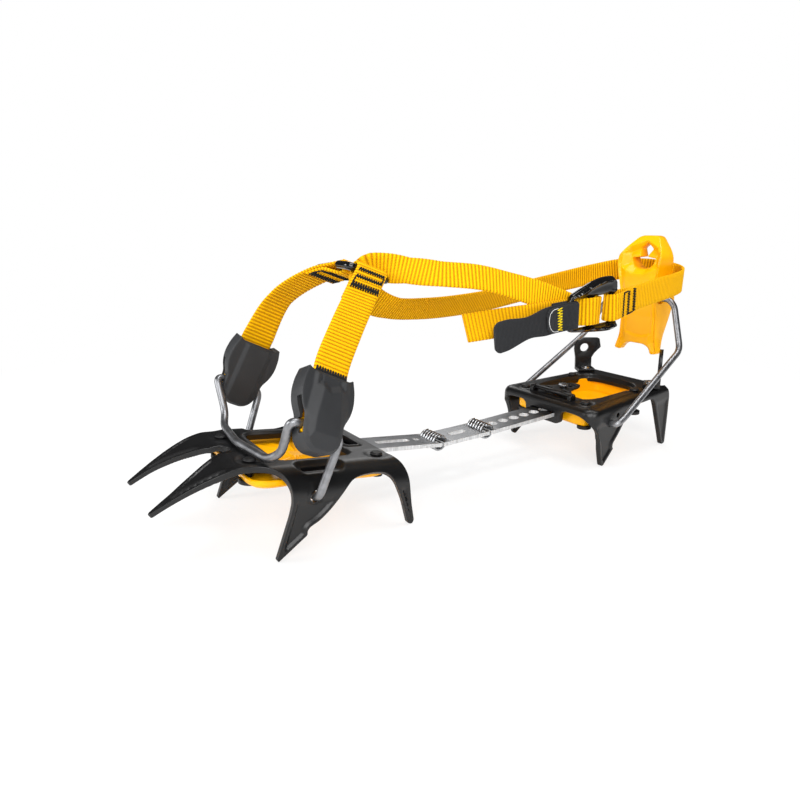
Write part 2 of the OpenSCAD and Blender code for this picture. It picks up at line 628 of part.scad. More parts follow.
// Side view of one wall: front point with its barb, straight rim, rear point
module rear_side_view() {
    t1 = rear_floor(rear_tip_s[0]);
    translate([0, -rear_h]) polygon([[rear_front_s - 3, rear_h + eps], [rear_front_s - 3.4, rear_h - 5],
        [rear_front_s - 2.6, rear_h - 10], [57.6, -6], [61.9, -17], [rear_tip_s[0] - 1.4, t1 + 0.6],
        [rear_tip_s[0] - 0.4, t1], [rear_tip_s[0] + 1, t1], [77.4, -20], [76.2, -18.6], [76.3, -16.4],
        [82.3, -10.9], [88.5, -3.4], [92, 2], [96, 4.2], [100, 4.9], [119, 4.9], [121.6, 3.4],
        [124, -2], [rear_tip_s[1] - 2.4, rear_floor(rear_tip_s[1] - 2.4)],
        [rear_tip_s[1] + 1.6, rear_floor(rear_tip_s[1] + 1.6)], [141, -10], [141, 3],
        [139, rear_h - 3], [rear_end_s - 1, rear_h + eps]]);
}
// Half of the bent plate, turned in towards the heel
module rear_side() {
    translate([rear_front_s, rear_half_w, rear_h]) rotate([0, 0, -rear_taper])
        translate([-rear_front_s, -rear_half_w, 0]) intersection() {
            rotate([90, 0, 90]) linear_extrude(150) intersection() {
                bent_section(rear_half_w, rear_bend_r, 60);
                translate([rear_half_w - 6, -60]) square([20, 61]);
            }
            across(0, 60) rear_side_view();
        }
}
module rear_plan() {
    end_half = rear_half_w - rear_len * tan(rear_taper);
    difference() {
        polygon([[rear_front_s, -rear_half_w], [rear_end_s - 3, -end_half - 0.2], [rear_end_s, -end_half + 4],
            [rear_end_s, end_half - 4], [rear_end_s - 3, end_half + 0.2], [rear_front_s, rear_half_w]]);
        round_rect(rear_window[0], rear_window[1], rear_window_half, 7);
    }
}
module rear_frame() {
    flange_r = 4;
    color("#232326") rear_place() difference() {
        union() {
            translate([0, 0, rear_h - plate_t]) linear_extrude(plate_t) rear_plan();
            both_sides() rear_side();
            // Front flange: quarter bend, strip and the guide that hangs from it
            across(-rear_half_w, rear_half_w) difference() {
                translate([rear_front_s, rear_h - flange_r]) circle(flange_r);
                translate([rear_front_s, rear_h - flange_r]) circle(flange_r - plate_t);
                translate([rear_front_s, rear_h - 3 * flange_r]) square(4 * flange_r);
                translate([rear_front_s - 9, rear_h - 3 * flange_r]) square([9, 2 * flange_r]);
            }
            translate([rear_front_s - flange_r, -rear_half_w, rear_h - 5.4])
                cube([plate_t, 2 * rear_half_w, 5.4 - flange_r + eps]);
            translate([rear_front_s - flange_r, -guide_half, guide_low])
                cube([plate_t, 2 * guide_half, rear_h - flange_r - guide_low]);
            // Tab that guides the locking pin, and lugs for the lever's hinge pin
            translate([rear_front_s + 3, -6, rear_h - plate_t - 2])
                cube([pin_s + 5 - rear_front_s - 3, 12, 2 + eps]);
            both_sides() translate([pivot_s - 2.5, lever_half + gap, rear_h - eps])
                cube([5, 3, lever_lift + 3.2]);
        }
        translate([rear_front_s - 9, -bar_w / 2 - guide_clear, -bar_t / 2 - guide_clear])
            cube([18, bar_w + 2 * guide_clear, bar_t + 2 * guide_clear]);
        translate([0, rear_half_w, 0]) rear_hole_cut();
        mirror([0, 1, 0]) translate([0, rear_half_w, 0]) rear_hole_cut();
        translate([pin_s, 0, 0]) cylinder(r = pin_r + pin_clear, h = rear_h + 1);
        translate([pivot_s, 0, lever_z]) rotate([90, 0, 0])
            cylinder(r = hinge_pin_r + pin_clear / 2, h = tall, center = true);
        both_sides() {
            for (p = rear_stud) translate([p[0], p[1], 0])
                cylinder(r = stud_shaft_r + gap / 2, h = rear_h + 1);
            translate([post_rivet[0], post_rivet[1], 0])
                cylinder(r = post_rivet_r + gap / 4, h = rear_h + 1);
        }
    }
}
module rear_hole_cut() {
    translate([rear_hole[0], 0, rear_hole[1]]) rotate([90, 0, 0])
        cylinder(d = rear_wire_d + 2 * wire_clear, h = 30, center = true);
}

// Rear anti-balling plate: a dish under the window, open at the front for the bar
dish_low = -4.6;
dish_half = rear_half_w - 11.4;
dish_s0 = 60.5;
dish_s1 = 129;
module dish_plan(inset) {
    offset(delta = -inset) polygon([[dish_s0, -dish_half - 5], [dish_s1 - 22, -dish_half - 2],
        [dish_s1, -dish_half + 8], [dish_s1, dish_half - 8], [dish_s1 - 22, dish_half + 2],
        [dish_s0, dish_half + 5]]);
}
module rear_anti_balling_plate() {
    top = rear_h - plate_t;
    color("#ffc20e") rear_place() difference() {
        union() {
            translate([0, 0, dish_low]) linear_extrude(wall) dish_plan(3);
            translate([0, 0, dish_low]) linear_extrude(top - dish_low) difference() {
                dish_plan(0);
                dish_plan(wall);
            }
            both_sides() for (p = rear_stud) translate([p[0], p[1], dish_low])
                cylinder(r = 3.6, h = top - dish_low);
            translate([0, 0, dish_low]) linear_extrude(wall) dish_plan(0);
        }
        translate([dish_s0 - 4, -bar_w / 2 - 1, -bar_t / 2 - 0.6]) cube([12, bar_w + 2, 20]);
        both_sides() for (p = rear_stud) translate([p[0], p[1], dish_low - 1])
            cylinder(r = stud_shaft_r + gap / 2, h = 40);
        both_sides() translate([post_rivet[0], post_rivet[1], top - 1.6]) cylinder(r = 4, h = 9);
    }
}
module rear_plate_studs() {
    color("#161616") rear_place() both_sides() for (p = rear_stud)
        translate([p[0], p[1], rear_h]) stud(rear_h - dish_low, 4.4);
}

// Heel posts: upright hooks on riveted feet at the back of the rear plate
post_t = 2.4;
post_h = 24;
post_hole_h = 16.6;
post_hole_r = 3.2;
module heel_post() {
    translate([post_at[0], post_at[1], rear_h]) rotate([0, 0, -post_turn]) difference() {
        union() {
            rotate([90, 0, 0]) linear_extrude(post_t, center = true) difference() {
                polygon([[-6, 0], [5.8, 0], [5.6, 9], [7.6, 12.4], [12, 16.8], [10.8, post_h - 1],
                    [9.6, post_h - 0.4], [0, post_h], [-4.6, post_h - 1.6], [-7, post_h - 5],
                    [-7.3, 15.5], [-6.2, 9]]);
                translate([0, post_hole_h]) circle(post_hole_r);
            }
            translate([-6, -post_foot, 0]) cube([11.8, post_foot, post_t]);
        }
        translate([0, 3.6 - post_foot, -1]) cylinder(r = post_rivet_r + gap / 4, h = post_t + 2);
    }
}
module near_heel_post() {
    color("#1f1f22") rear_place() mirror([0, 1, 0]) heel_post();
}
module far_heel_post() {
    color("#1f1f22") rear_place() heel_post();
}
module heel_post_rivets() {
    color("#2c2c2f") rear_place() both_sides() translate([post_rivet[0], post_rivet[1], 0]) {
        translate([0, 0, rear_h - plate_t - 1.2]) cylinder(r = 2.8, h = 1.2);
        translate([0, 0, rear_h - plate_t - eps]) cylinder(r = post_rivet_r, h = plate_t + post_t + 2 * eps);
        translate([0, 0, rear_h + post_t]) cylinder(r1 = 3.4, r2 = 2.4, h = 1.2);
    }
}

// Adjuster: a spring lever on the front rim, whose pin drops into the bar's holes
neck_r = 1.2;
module adjuster_lever() {
    color("#2a2b2e") rear_place() difference() {
        union() {
            translate([0, 0, rear_h + lever_lift]) linear_extrude(lever_t) difference() {
                polygon([[pivot_s - 1, -lever_half], [pivot_s + 3, -lever_half], [pivot_s + 6, -11],
                    [pivot_s + 9, -8], [pivot_s + 18, -6.4], [pivot_s + 23, -4], [pivot_s + 24, 0],
                    [pivot_s + 23, 4], [pivot_s + 18, 6.4], [pivot_s + 9, 8], [pivot_s + 6, 11],
                    [pivot_s + 3, lever_half], [pivot_s - 1, lever_half]]);
                translate([pin_s, 0]) circle(neck_r + 1.1);
            }
            translate([pivot_s, 0, lever_z]) rotate([90, 0, 0])
                cylinder(r = hinge_pin_r + 0.9, h = 2 * lever_half, center = true);
        }
        translate([pivot_s, 0, lever_z]) rotate([90, 0, 0])
            cylinder(r = hinge_pin_r + pin_clear / 2, h = tall, center = true);
    }
}
// Locking pin: slides in the frame's tab, and is carried by the lever's tongue at its neck
module adjuster_pin() {
    slack = 1;
    low = bar_t / 2 + gap;
    shoulder = rear_h + lever_lift - slack;
    head = rear_h + lever_lift + lever_t + slack;
    color("#9a9da1") rear_place() translate([pin_s, 0, 0]) {
        translate([0, 0, low]) cylinder(r = pin_r, h = shoulder - low);
        translate([0, 0, shoulder - eps]) cylinder(r = neck_r, h = head - shoulder + 2 * eps);
        translate([0, 0, head]) cylinder(r = neck_r + 2, h = 1.2);
    }
}
module adjuster_hinge_pin() {
    color("#7c7f83") rear_place() translate([pivot_s, 0, lever_z]) rotate([90, 0, 0])
        cylinder(r = hinge_pin_r, h = 2 * (lever_half + gap + 3), center = true);
}

// Rear bail: one wire from the rear frame's holes up into the heel piece
rear_pivot = rear_xz(rear_hole[0], rear_hole[1]);
rear_leg_y = rear_half_w + rear_bend_r + rear_wire_d / 2 + 0.8;
bail_knee = [318, 67.5];
knee_y = 39.5;
heel_axis = [326, 98.5];
heel_half = 19;
module rear_bail() {
    half = [[rear_pivot[0], -rear_leg_y + 12, rear_pivot[1]], [rear_pivot[0], -rear_leg_y, rear_pivot[1]],
        [rear_pivot[0] + 6, -rear_leg_y - 0.4, rear_pivot[1] + 3.4],
        [bail_knee[0], -knee_y, bail_knee[1]], [heel_axis[0] - 1, -heel_half - 8, heel_axis[1] - 4],
        [heel_axis[0], -heel_half - 3, heel_axis[1]], [heel_axis[0], -8, heel_axis[1]]];
    path = concat(half, [for (i = [len(half) - 1:-1:0]) [half[i][0], -half[i][1], half[i][2]]]);
    color("#5f6164") placed() wire(path, rear_wire_d, 5, [1, 0, 0]);
}

// Heel piece: moulded plate on the rear bail, with an eye, a strap slot and two feet
heel_low = 60;
heel_face = 319;
module heel_outline() {
    top = heel_low + heel_h;
    polygon([[-heel_half, heel_low], [-heel_half + 6, heel_low - 0.6], [-heel_half + 8, heel_low + 4],
        [-6, heel_low + 5.4], [6, heel_low + 5.4], [heel_half - 8, heel_low + 4],
        [heel_half - 6, heel_low - 0.6], [heel_half, heel_low], [heel_half - 3, heel_low + 9],
        [heel_half - 3.4, heel_low + 40], [heel_half - 0.4, heel_low + 52], [heel_half + 0.6, top - 16],
        [heel_half - 2, top - 11], [9, top - 1], [5, top], [-5, top], [-9, top - 1],
        [-heel_half + 2, top - 11], [-heel_half - 0.6, top - 16], [-heel_half + 0.4, heel_low + 52],
        [-heel_half + 3.4, heel_low + 40], [-heel_half + 3, heel_low + 9]]);
}
module heel_piece() {
    top = heel_low + heel_h;
    color("#fbb80f") placed() difference() {
        translate([heel_face, 0, 0]) rotate([90, 0, 90]) linear_extrude(heel_depth) heel_outline();
        // Hollow back under the wire
        translate([heel_face + wall + 1, -heel_half + 5.4, heel_low + 8]) cube([20, 2 * heel_half - 10.8, 26]);
        // Dished front panel
        translate([heel_face - 1, -heel_half + 6, heel_low + 10]) cube([1.8, 2 * heel_half - 12, 26]);
        // Eye and strap slot
        translate([heel_face - 1, 0, top - 9]) rotate([90, 0, 90]) linear_extrude(40)
            polygon([[-5.5, 0], [0, 5.6], [5.5, 0], [2.6, -7], [-2.6, -7]]);
        translate([heel_face - 1, -9, top - 23.5]) cube([40, 18, 5.4]);
        translate([heel_axis[0], 0, heel_axis[1]]) rotate([90, 0, 0])
            cylinder(d = rear_wire_d + 2 * wire_clear, h = tall, center = true);
    }
}

front_frame();
front_anti_balling_plate();
front_plate_studs();
front_bail();
near_strap_keeper();
far_strap_keeper();
near_toe_strap();
far_toe_strap();
strap_ring();
ankle_strap();
buckle_frame();
pull_tab();
bar_front();
front_hinge_coil();
bar_middle();
rear_hinge_coil();
bar_rear();
bar_end_rivet();
rear_frame();
rear_anti_balling_plate();
rear_plate_studs();
near_heel_post();
far_heel_post();
heel_post_rivets();
adjuster_lever();
adjuster_pin();
adjuster_hinge_pin();
rear_bail();
heel_piece();
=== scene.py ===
"""Strap-on crampon: the visible pieces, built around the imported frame."""
import math

import bpy
import numpy as np
from bpy.props import FloatProperty, FloatVectorProperty, PointerProperty
from mathutils import Matrix, Vector
from mathutils.geometry import delaunay_2d_cdt


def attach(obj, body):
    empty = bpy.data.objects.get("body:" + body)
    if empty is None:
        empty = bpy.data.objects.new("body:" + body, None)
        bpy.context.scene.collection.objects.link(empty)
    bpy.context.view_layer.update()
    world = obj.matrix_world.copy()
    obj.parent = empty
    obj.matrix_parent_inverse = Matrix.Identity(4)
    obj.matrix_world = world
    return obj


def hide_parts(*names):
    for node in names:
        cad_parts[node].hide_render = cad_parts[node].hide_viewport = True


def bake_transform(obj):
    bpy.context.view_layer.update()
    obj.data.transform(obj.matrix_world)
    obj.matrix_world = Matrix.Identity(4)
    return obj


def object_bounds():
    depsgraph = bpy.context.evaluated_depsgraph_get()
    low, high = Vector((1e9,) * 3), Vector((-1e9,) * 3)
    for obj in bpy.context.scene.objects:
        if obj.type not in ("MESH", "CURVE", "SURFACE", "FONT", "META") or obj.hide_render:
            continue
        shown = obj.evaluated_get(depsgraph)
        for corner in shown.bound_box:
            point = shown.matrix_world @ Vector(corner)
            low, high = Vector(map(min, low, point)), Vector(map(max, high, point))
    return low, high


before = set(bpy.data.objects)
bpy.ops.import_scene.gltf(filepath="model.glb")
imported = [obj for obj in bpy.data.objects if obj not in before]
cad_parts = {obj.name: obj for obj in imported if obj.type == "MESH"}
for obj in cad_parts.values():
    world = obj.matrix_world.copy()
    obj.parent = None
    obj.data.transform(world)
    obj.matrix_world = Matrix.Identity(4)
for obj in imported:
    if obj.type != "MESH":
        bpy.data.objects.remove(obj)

CAD_LOW, CAD_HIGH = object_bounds()

bl_info = {
    "name": "Strap-on crampon",
    "version": (1, 0, 0),
    "blender": (4, 5, 0),
    "location": "3D View > Sidebar > Crampon",
    "description": "Builds the visible pieces of a ten-point crampon around its packed frame",
    "category": "Object",
}

MM = 0.001
# Middle of the part along X, in the stations that the sizes below are written in
ORIGIN_X = 164.6
PLATE_T, WIRE_D, GAP = 3.0, 4.0, 0.3
# Slopes of the front plate, of the bar's middle segment and of the rear section
FRONT_PITCH, LINK_PITCH, REAR_PITCH = (math.radians(a) for a in (6.5, 1.5, 3.0))
# The front plate's point of turning, the station of its hinge, and the middle segment's length
FRONT_REF, HINGE_U, LINK_LEN = (26.0, 42.3), 147.0, 36.0


def hex_linear(code):
    """A linear colour from an sRGB hex value."""
    parts = [int(code[i:i + 2], 16) / 255 for i in (1, 3, 5)]
    return [c / 12.92 if c <= 0.04045 else ((c + 0.055) / 1.055) ** 2.4 for c in parts]


def unit(v):
    """Directions of length one."""
    v = np.asarray(v, float)
    return v / np.linalg.norm(v, axis=-1, keepdims=True)


def smoothstep(x, low, high):
    """A soft rise from 0 at low to 1 at high."""
    f = np.clip((x - low) / (high - low), 0, 1)
    return f * f * (3 - 2 * f)


def front_place(u, v, w):
    """Stations of the front plate: along it, across it and above its top."""
    c, s = math.cos(FRONT_PITCH), math.sin(FRONT_PITCH)
    u, v, w = np.broadcast_arrays(u, v, w)
    du = u - FRONT_REF[0]
    return np.stack([FRONT_REF[0] + du * c + w * s, v, FRONT_REF[1] - du * s + w * c], -1)


HINGE_FRONT = front_place(HINGE_U, 0.0, -PLATE_T - 1.25)
HINGE_REAR = HINGE_FRONT + LINK_LEN * np.array([math.cos(LINK_PITCH), 0, math.sin(LINK_PITCH)])


def tilted(origin, pitch, s, v, t):
    """Stations of a sloping segment: along it from its hinge, across it and above it."""
    cosine, sine = math.cos(pitch), math.sin(pitch)
    s, v, t = np.broadcast_arrays(s, v, t)
    return np.stack([origin[0] + s * cosine - t * sine, v, origin[2] + s * sine + t * cosine], -1)


def rear_place(s, v, t):
    """Stations of the rear section: along the bar from its hinge, across, above the bar."""
    return tilted(HINGE_REAR, REAR_PITCH, s, v, t)


# Meshes

def only(obj):
    """Leaves one object selected and active."""
    bpy.ops.object.select_all(action="DESELECT")
    obj.select_set(True)
    bpy.context.view_layer.objects.active = obj


def apply_modifier(obj, kind, **settings):
    """Adds a modifier with its settings and applies it."""
    made = obj.modifiers.new(kind.lower(), kind)
    for key, value in settings.items():
        setattr(made, key, value)
    only(obj)
    bpy.ops.object.modifier_apply(modifier=made.name)


def make_piece(name, points, faces, finish, uv=None, smooth=40, recalc=True, weighted=False):
    """A mesh object from design millimetres, with its place in its mesh."""
    mesh = bpy.data.meshes.new(name)
    placed = (np.asarray(points, float) - (ORIGIN_X, 0, 0)) * MM
    mesh.from_pydata(placed.tolist(), [], [list(map(int, f)) for f in faces])
    obj = bpy.data.objects.new(name, mesh)
    bpy.context.scene.collection.objects.link(obj)
    mesh.materials.append(finish)
    if uv is not None:
        layer = mesh.uv_layers.new(name="UVMap")
        index = np.zeros(len(mesh.loops), np.int32)
        mesh.loops.foreach_get("vertex_index", index)
        layer.data.foreach_set("uv", np.asarray(uv, np.float32)[index].ravel())
    only(obj)
    if recalc:
        bpy.ops.object.mode_set(mode="EDIT")
        bpy.ops.mesh.select_all(action="SELECT")
        bpy.ops.mesh.normals_make_consistent(inside=False)
        bpy.ops.object.mode_set(mode="OBJECT")
    bpy.ops.object.shade_smooth_by_angle(angle=math.radians(smooth))
    if weighted:
        apply_modifier(obj, "WEIGHTED_NORMAL", keep_sharp=True, weight=60)
    return obj


def seat(obj, body, slot, *nodes):
    """Puts a piece on its body and hides the solids that it stands for; its finish's slot is not used."""
    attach(obj, body)
    if nodes:
        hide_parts(*nodes)
    return obj


def loft(rings, close=True):
    """Points and faces of a skin over rings of equal count, with flat ends or joined end to end."""
    k, m = len(rings[0]), len(rings)
    points = np.concatenate([np.asarray(r, float) for r in rings])
    faces = [(i * k + j, i * k + (j + 1) % k, (i + 1) * k + (j + 1) % k, (i + 1) * k + j)
             for i in range(m - 1) for j in range(k)]
    if close:
        faces += [tuple(range(k)), tuple((m - 1) * k + j for j in range(k))]
    else:
        faces += [((m - 1) * k + j, (m - 1) * k + (j + 1) % k, (j + 1) % k, j) for j in range(k)]
    return points, faces


def round_path(points, reach, steps=8):
    """Rounds the inner corners of an open path."""
    p = [np.asarray(q, float) for q in points]
    out = [p[0]]
    for before, here, after in zip(p, p[1:], p[2:]):
        cut = min(reach, 0.45 * np.linalg.norm(before - here), 0.45 * np.linalg.norm(after - here))
        a, b = unit(before - here) * cut, unit(after - here) * cut
        out += [here + a * (1 - f) ** 2 + b * f * f for f in np.linspace(0, 1, steps + 1)]
    return np.array(out + [p[-1]])


# Width of a wire's cut end, as a share of the wire's
END_SHARE = 0.82


def tube(path, d, sides=16, first=(1, 0, 0)):
    """A round wire along a path, with slightly rounded ends."""
    path = np.asarray(path, float)
    tangents = unit(np.gradient(path, axis=0))
    normal, rings = np.asarray(first, float), []
    turn = np.linspace(0, 2 * math.pi, sides, endpoint=False)
    for i, (p, t) in enumerate(zip(path, tangents)):
        normal = unit(normal - t * (normal @ t))
        across = np.cross(t, normal)
        ring = d / 2 * (np.outer(np.cos(turn), normal) + np.outer(np.sin(turn), across))
        if i == 0:
            rings.append(p + ring * END_SHARE)
            p = p + t * d * 0.1
        if i == len(path) - 1:
            rings.append(p - t * d * 0.1 + ring)
            ring = ring * END_SHARE
        rings.append(p + ring)
    return loft(rings)


def round_corners(points, radii, steps=4):
    """Rounds the corners of a closed flat outline; radii is one number or one for each point."""
    p = np.asarray(points, float)
    radii = np.broadcast_to(radii, len(p))
    out = []
    for i, r in enumerate(radii):
        a, b = p[i - 1] - p[i], p[(i + 1) % len(p)] - p[i]
        cut = min(r, 0.45 * np.linalg.norm(a), 0.45 * np.linalg.norm(b))
        if cut < 0.05:
            out.append(p[i])
            continue
        a, b = unit(a) * cut, unit(b) * cut
        out += [p[i] + a * (1 - f) ** 2 + b * f * f for f in np.linspace(0, 1, steps + 1)]
    return np.array(out)


def round_rect(x0, x1, y0, y1, r, steps=5):
    """A rectangle with rounded corners, from its sides."""
    return round_corners([(x0, y0), (x1, y0), (x1, y1), (x0, y1)], r, steps)


def circle(x, y, r, n=24):
    """A round outline about a point."""
    a = np.linspace(0, 2 * math.pi, n, endpoint=False)
    return np.stack([x + r * np.cos(a), y + r * np.sin(a)], -1)


def spaced(loop, step):
    """A closed outline with no piece longer than a step, and no doubled points."""
    out = []
    for a, b in zip(loop, np.roll(loop, -1, axis=0)):
        length = np.linalg.norm(b - a)
        if length < 0.02:
            continue
        count = max(1, math.ceil(length / step))
        out += [a + (b - a) * k / count for k in range(count)]
    return np.array(out)


def signed_area(loop):
    """Area of an outline, above zero where it runs anticlockwise."""
    x, y = loop.T
    return 0.5 * np.sum(x * np.roll(y, -1) - y * np.roll(x, -1))


def inside(points, loops):
    """Which points lie within outlines, where an outline in another is a hole."""
    hit = np.zeros(len(points), bool)
    for loop in loops:
        a, b = loop, np.roll(loop, -1, axis=0)
        for (ax, ay), (bx, by) in zip(a, b):
            if ay == by:
                continue
            crosses = (ay > points[:, 1]) != (by > points[:, 1])
            hit ^= crosses & (points[:, 0] < (bx - ax) * (points[:, 1] - ay) / (by - ay) + ax)
    return hit


def edge_distance(points, loops):
    """Distance from each point to the nearest outline."""
    best = np.full(len(points), 1e9)
    for loop in loops:
        for a, b in zip(loop, np.roll(loop, -1, axis=0)):
            d = b - a
            f = np.clip((points - a) @ d / max(d @ d, 1e-12), 0, 1)
            best = np.minimum(best, np.linalg.norm(points - a - f[:, None] * d, axis=1))
    return best


def tidy_mesh(points, faces):
    """Leaves out faces that have shrunk to a line, and the points that no face uses."""
    kept = []
    for face in faces:
        face = [i for k, i in enumerate(face) if i != face[k - 1]]
        if len(set(face)) > 2:
            kept.append(face)
    used, place = np.unique([i for f in kept for i in f], return_inverse=True)
    at = 0
    out = []
    for face in kept:
        out.append(place[at:at + len(face)])
        at += len(face)
    return points[used], out


def untangle(old, new):
    """Draws together the points of an inset outline that have passed each other at tight corners."""
    for _ in range(40):
        a, b = np.roll(old, -1, axis=0) - old, np.roll(new, -1, axis=0) - new
        passed = np.nonzero((np.sum(a * b, axis=1) < 0) & (np.linalg.norm(b, axis=1) > 1e-6))[0]
        if not len(passed):
            break
        for i in passed:
            j = (i + 1) % len(new)
            same = np.linalg.norm(new - new[i], axis=1) < 1e-6
            same |= np.linalg.norm(new - new[j], axis=1) < 1e-6
            new[same] = (new[i] + new[j]) / 2
    return new


def plate(outline, holes, place, thick=PLATE_T, edge=0.5, step=1.6, fine=None, relief=None):
    """A pressed sheet from its flat outline and holes: rounded edges, and a skin fine enough to
    bend and emboss. place(points, height) gives the bent place of flat points."""
    loops = [spaced(np.asarray(outline, float), step)]
    loops += [spaced(np.asarray(h, float), min(step, 1.2)) for h in holes]
    loops = [loop if (signed_area(loop) > 0) == (i == 0) else loop[::-1] for i, loop in enumerate(loops)]
    turns = np.radians([90, 60, 30, 0])
    profile = [(edge - edge * math.cos(t), thick / 2 - edge + edge * math.sin(t)) for t in turns]
    profile += [(d, -h) for d, h in reversed(profile)]
    flat, height, faces, inner = [], [], [], []
    start = 0
    for loop in loops:
        n = len(loop)
        before, after = unit(loop - np.roll(loop, 1, axis=0)), unit(np.roll(loop, -1, axis=0) - loop)
        left = lambda d: np.stack([-d[:, 1], d[:, 0]], -1)
        mitre = unit(left(before) + left(after) + 1e-9)
        reach = 1 / np.maximum(0.6, np.sum(mitre * left(after), axis=1))
        for d, h in profile:
            flat.append(untangle(loop, loop + mitre * (reach * d)[:, None]))
            height.append(np.full(n, h))
        for k in range(len(profile) - 1):
            a, b = start + k * n, start + (k + 1) * n
            faces += [(a + (j + 1) % n, a + j, b + j, b + (j + 1) % n) for j in range(n)]
        inner.append((start, start + (len(profile) - 1) * n, n))
        start += n * len(profile)
    # The triangulation works in single precision, so the inset outlines are rounded to it
    rims = [flat[i * len(profile)].astype(np.float32).astype(float) for i in range(len(loops))]
    low, high = rims[0].min(0), rims[0].max(0)

    def grid(pitch):
        """Staggered rows of points over the plate's box."""
        points = []
        for i, y in enumerate(np.arange(low[1] + pitch / 2, high[1], pitch * 0.87)):
            x = np.arange(low[0] + (i % 2) * pitch / 2, high[0], pitch)
            points.append(np.stack([x, np.full(len(x), y)], -1))
        return np.concatenate(points)

    coarse = grid(step)
    parts = [(coarse, step)]
    if fine is not None:
        small = grid(step / 2.2)
        parts = [(coarse[~fine(coarse)], step), (small[fine(small)], step / 2.2)]
    kept = []
    for points, pitch in parts:
        points = points[inside(points, rims)]
        kept.append(points[edge_distance(points, rims) > 0.6 * pitch])
    middle = np.concatenate(kept)
    rim_points = np.concatenate(rims)
    top_index = np.concatenate([np.arange(t, t + n) for t, b, n in inner])
    low_index = np.concatenate([np.arange(b, b + n) for t, b, n in inner])
    edges, at = [], 0
    for t, b, n in inner:
        edges += [(at + j, at + (j + 1) % n) for j in range(n)]
        at += n
    every = np.concatenate([rim_points, middle])
    out, _, triangles, sources, _, _ = delaunay_2d_cdt([Vector(p) for p in every], edges, [], 0, 1e-5)
    triangles = np.array(triangles)
    out = np.array([tuple(p) for p in out])
    triangles = triangles[inside(out[triangles].mean(1), rims)]
    total, joined = start, {}
    top, bottom = np.zeros(len(out), int), np.zeros(len(out), int)
    new = []
    for i, source in enumerate(sources):
        if source and source[0] < len(rim_points):
            top[i], bottom[i] = top_index[source[0]], low_index[source[0]]
            for other in source[1:]:
                joined[top_index[other]], joined[low_index[other]] = top[i], bottom[i]
        else:
            top[i], bottom[i] = total + len(new), -1
            new.append(out[i])
    new = np.array(new).reshape(-1, 2)
    bottom[bottom < 0] = top[bottom < 0] + len(new)
    flat += [new, new]
    height += [np.full(len(new), thick / 2), np.full(len(new), -thick / 2)]
    a, b, c = triangles.T
    pts = out[triangles]
    area = np.cross(pts[:, 1] - pts[:, 0], pts[:, 2] - pts[:, 0])
    b, c = np.where(area > 0, b, c), np.where(area > 0, c, b)
    faces += list(zip(top[a], top[b], top[c])) + list(zip(bottom[a], bottom[c], bottom[b]))
    flat, height = np.concatenate(flat), np.concatenate(height)
    if relief is not None:
        height = height + relief(flat, height, loops)
    return tidy_mesh(place(flat, height), [[joined.get(i, i) for i in f] for f in faces])


def flat_place(origin, along, across, up):
    """A plain sheet's place: a point and the directions of its two sides and its height."""
    origin, along, across, up = (np.asarray(v, float) for v in (origin, along, across, up))
    return lambda p, h: origin + p[:, :1] * along + p[:, 1:] * across + h[:, None] * up


# Finishes

def add(tree, kind, settings=None, inputs=None, stops=(), into=None):
    """A shader node with its settings, its inputs set or linked, a ramp's stops, and its first
    output linked into a socket."""
    made = tree.nodes.new("ShaderNode" + kind)
    for key, value in (settings or {}).items():
        setattr(made, key, value)
    for key, value in (inputs or {}).items():
        if isinstance(value, bpy.types.NodeSocket):
            tree.links.new(value, made.inputs[key])
        else:
            made.inputs[key].default_value = value
    for i, (place, colour) in enumerate(stops):
        band = made.color_ramp.elements
        stop = band[i] if i < len(band) else band.new(place)
        stop.position, stop.color = place, (*colour, 1)
    if into is not None:
        tree.links.new(made.outputs[0], into)
    return made


def start_finish(name, **sockets):
    """A material with its shader's own values set; returns it, its tree and its shader."""
    made = bpy.data.materials.new(name)
    made.use_nodes = True
    tree = made.node_tree
    shader = tree.nodes["Principled BSDF"]
    for key, value in sockets.items():
        shader.inputs[key.replace("_", " ")].default_value = value
    return made, tree, shader


def shade(name, share=1.0):
    """A colour of the settings, lighter or darker by a share."""
    return [min(1.0, c * share) for c in getattr(bpy.context.scene.crampon_colours, name)]


def sizes():
    """The sizes of the settings."""
    return bpy.context.scene.crampon_sizes


def grain(tree, size_mm, detail=3.0, stretch=(1, 1, 1)):
    """A pattern of random grain of a real size; the object's coordinates are metres."""
    coords = add(tree, "TexCoord").outputs["Object"]
    placed = add(tree, "Mapping", inputs={"Vector": coords, "Scale": stretch}).outputs[0]
    return add(tree, "TexNoise", inputs={"Vector": placed, "Scale": 1 / (size_mm * MM),
                                         "Detail": detail}).outputs["Fac"]


def powder_coated_steel():
    # Stamped steel under a baked satin coat: near black, a fine even grain, soft edges that catch light
    made, tree, shader = start_finish("powder_coated_steel", Specular_IOR_Level=0.4, Roughness=0.36)
    add(tree, "ValToRGB", inputs={"Fac": grain(tree, 7.0)},
        stops=[(0.3, shade("coat", 0.75)), (0.7, shade("coat", 1.3))], into=shader.inputs["Base Color"])
    # A coat's grain is about 0.2 mm; it is drawn at 0.6 mm so that it shows
    fine = grain(tree, 0.6, 2.0)
    add(tree, "MapRange", inputs={"Value": fine, "To Min": 0.3, "To Max": 0.42},
        into=shader.inputs["Roughness"])
    add(tree, "Bump", inputs={"Height": fine, "Distance": 0.04 * MM, "Strength": 0.5},
        into=shader.inputs["Normal"])
    return made


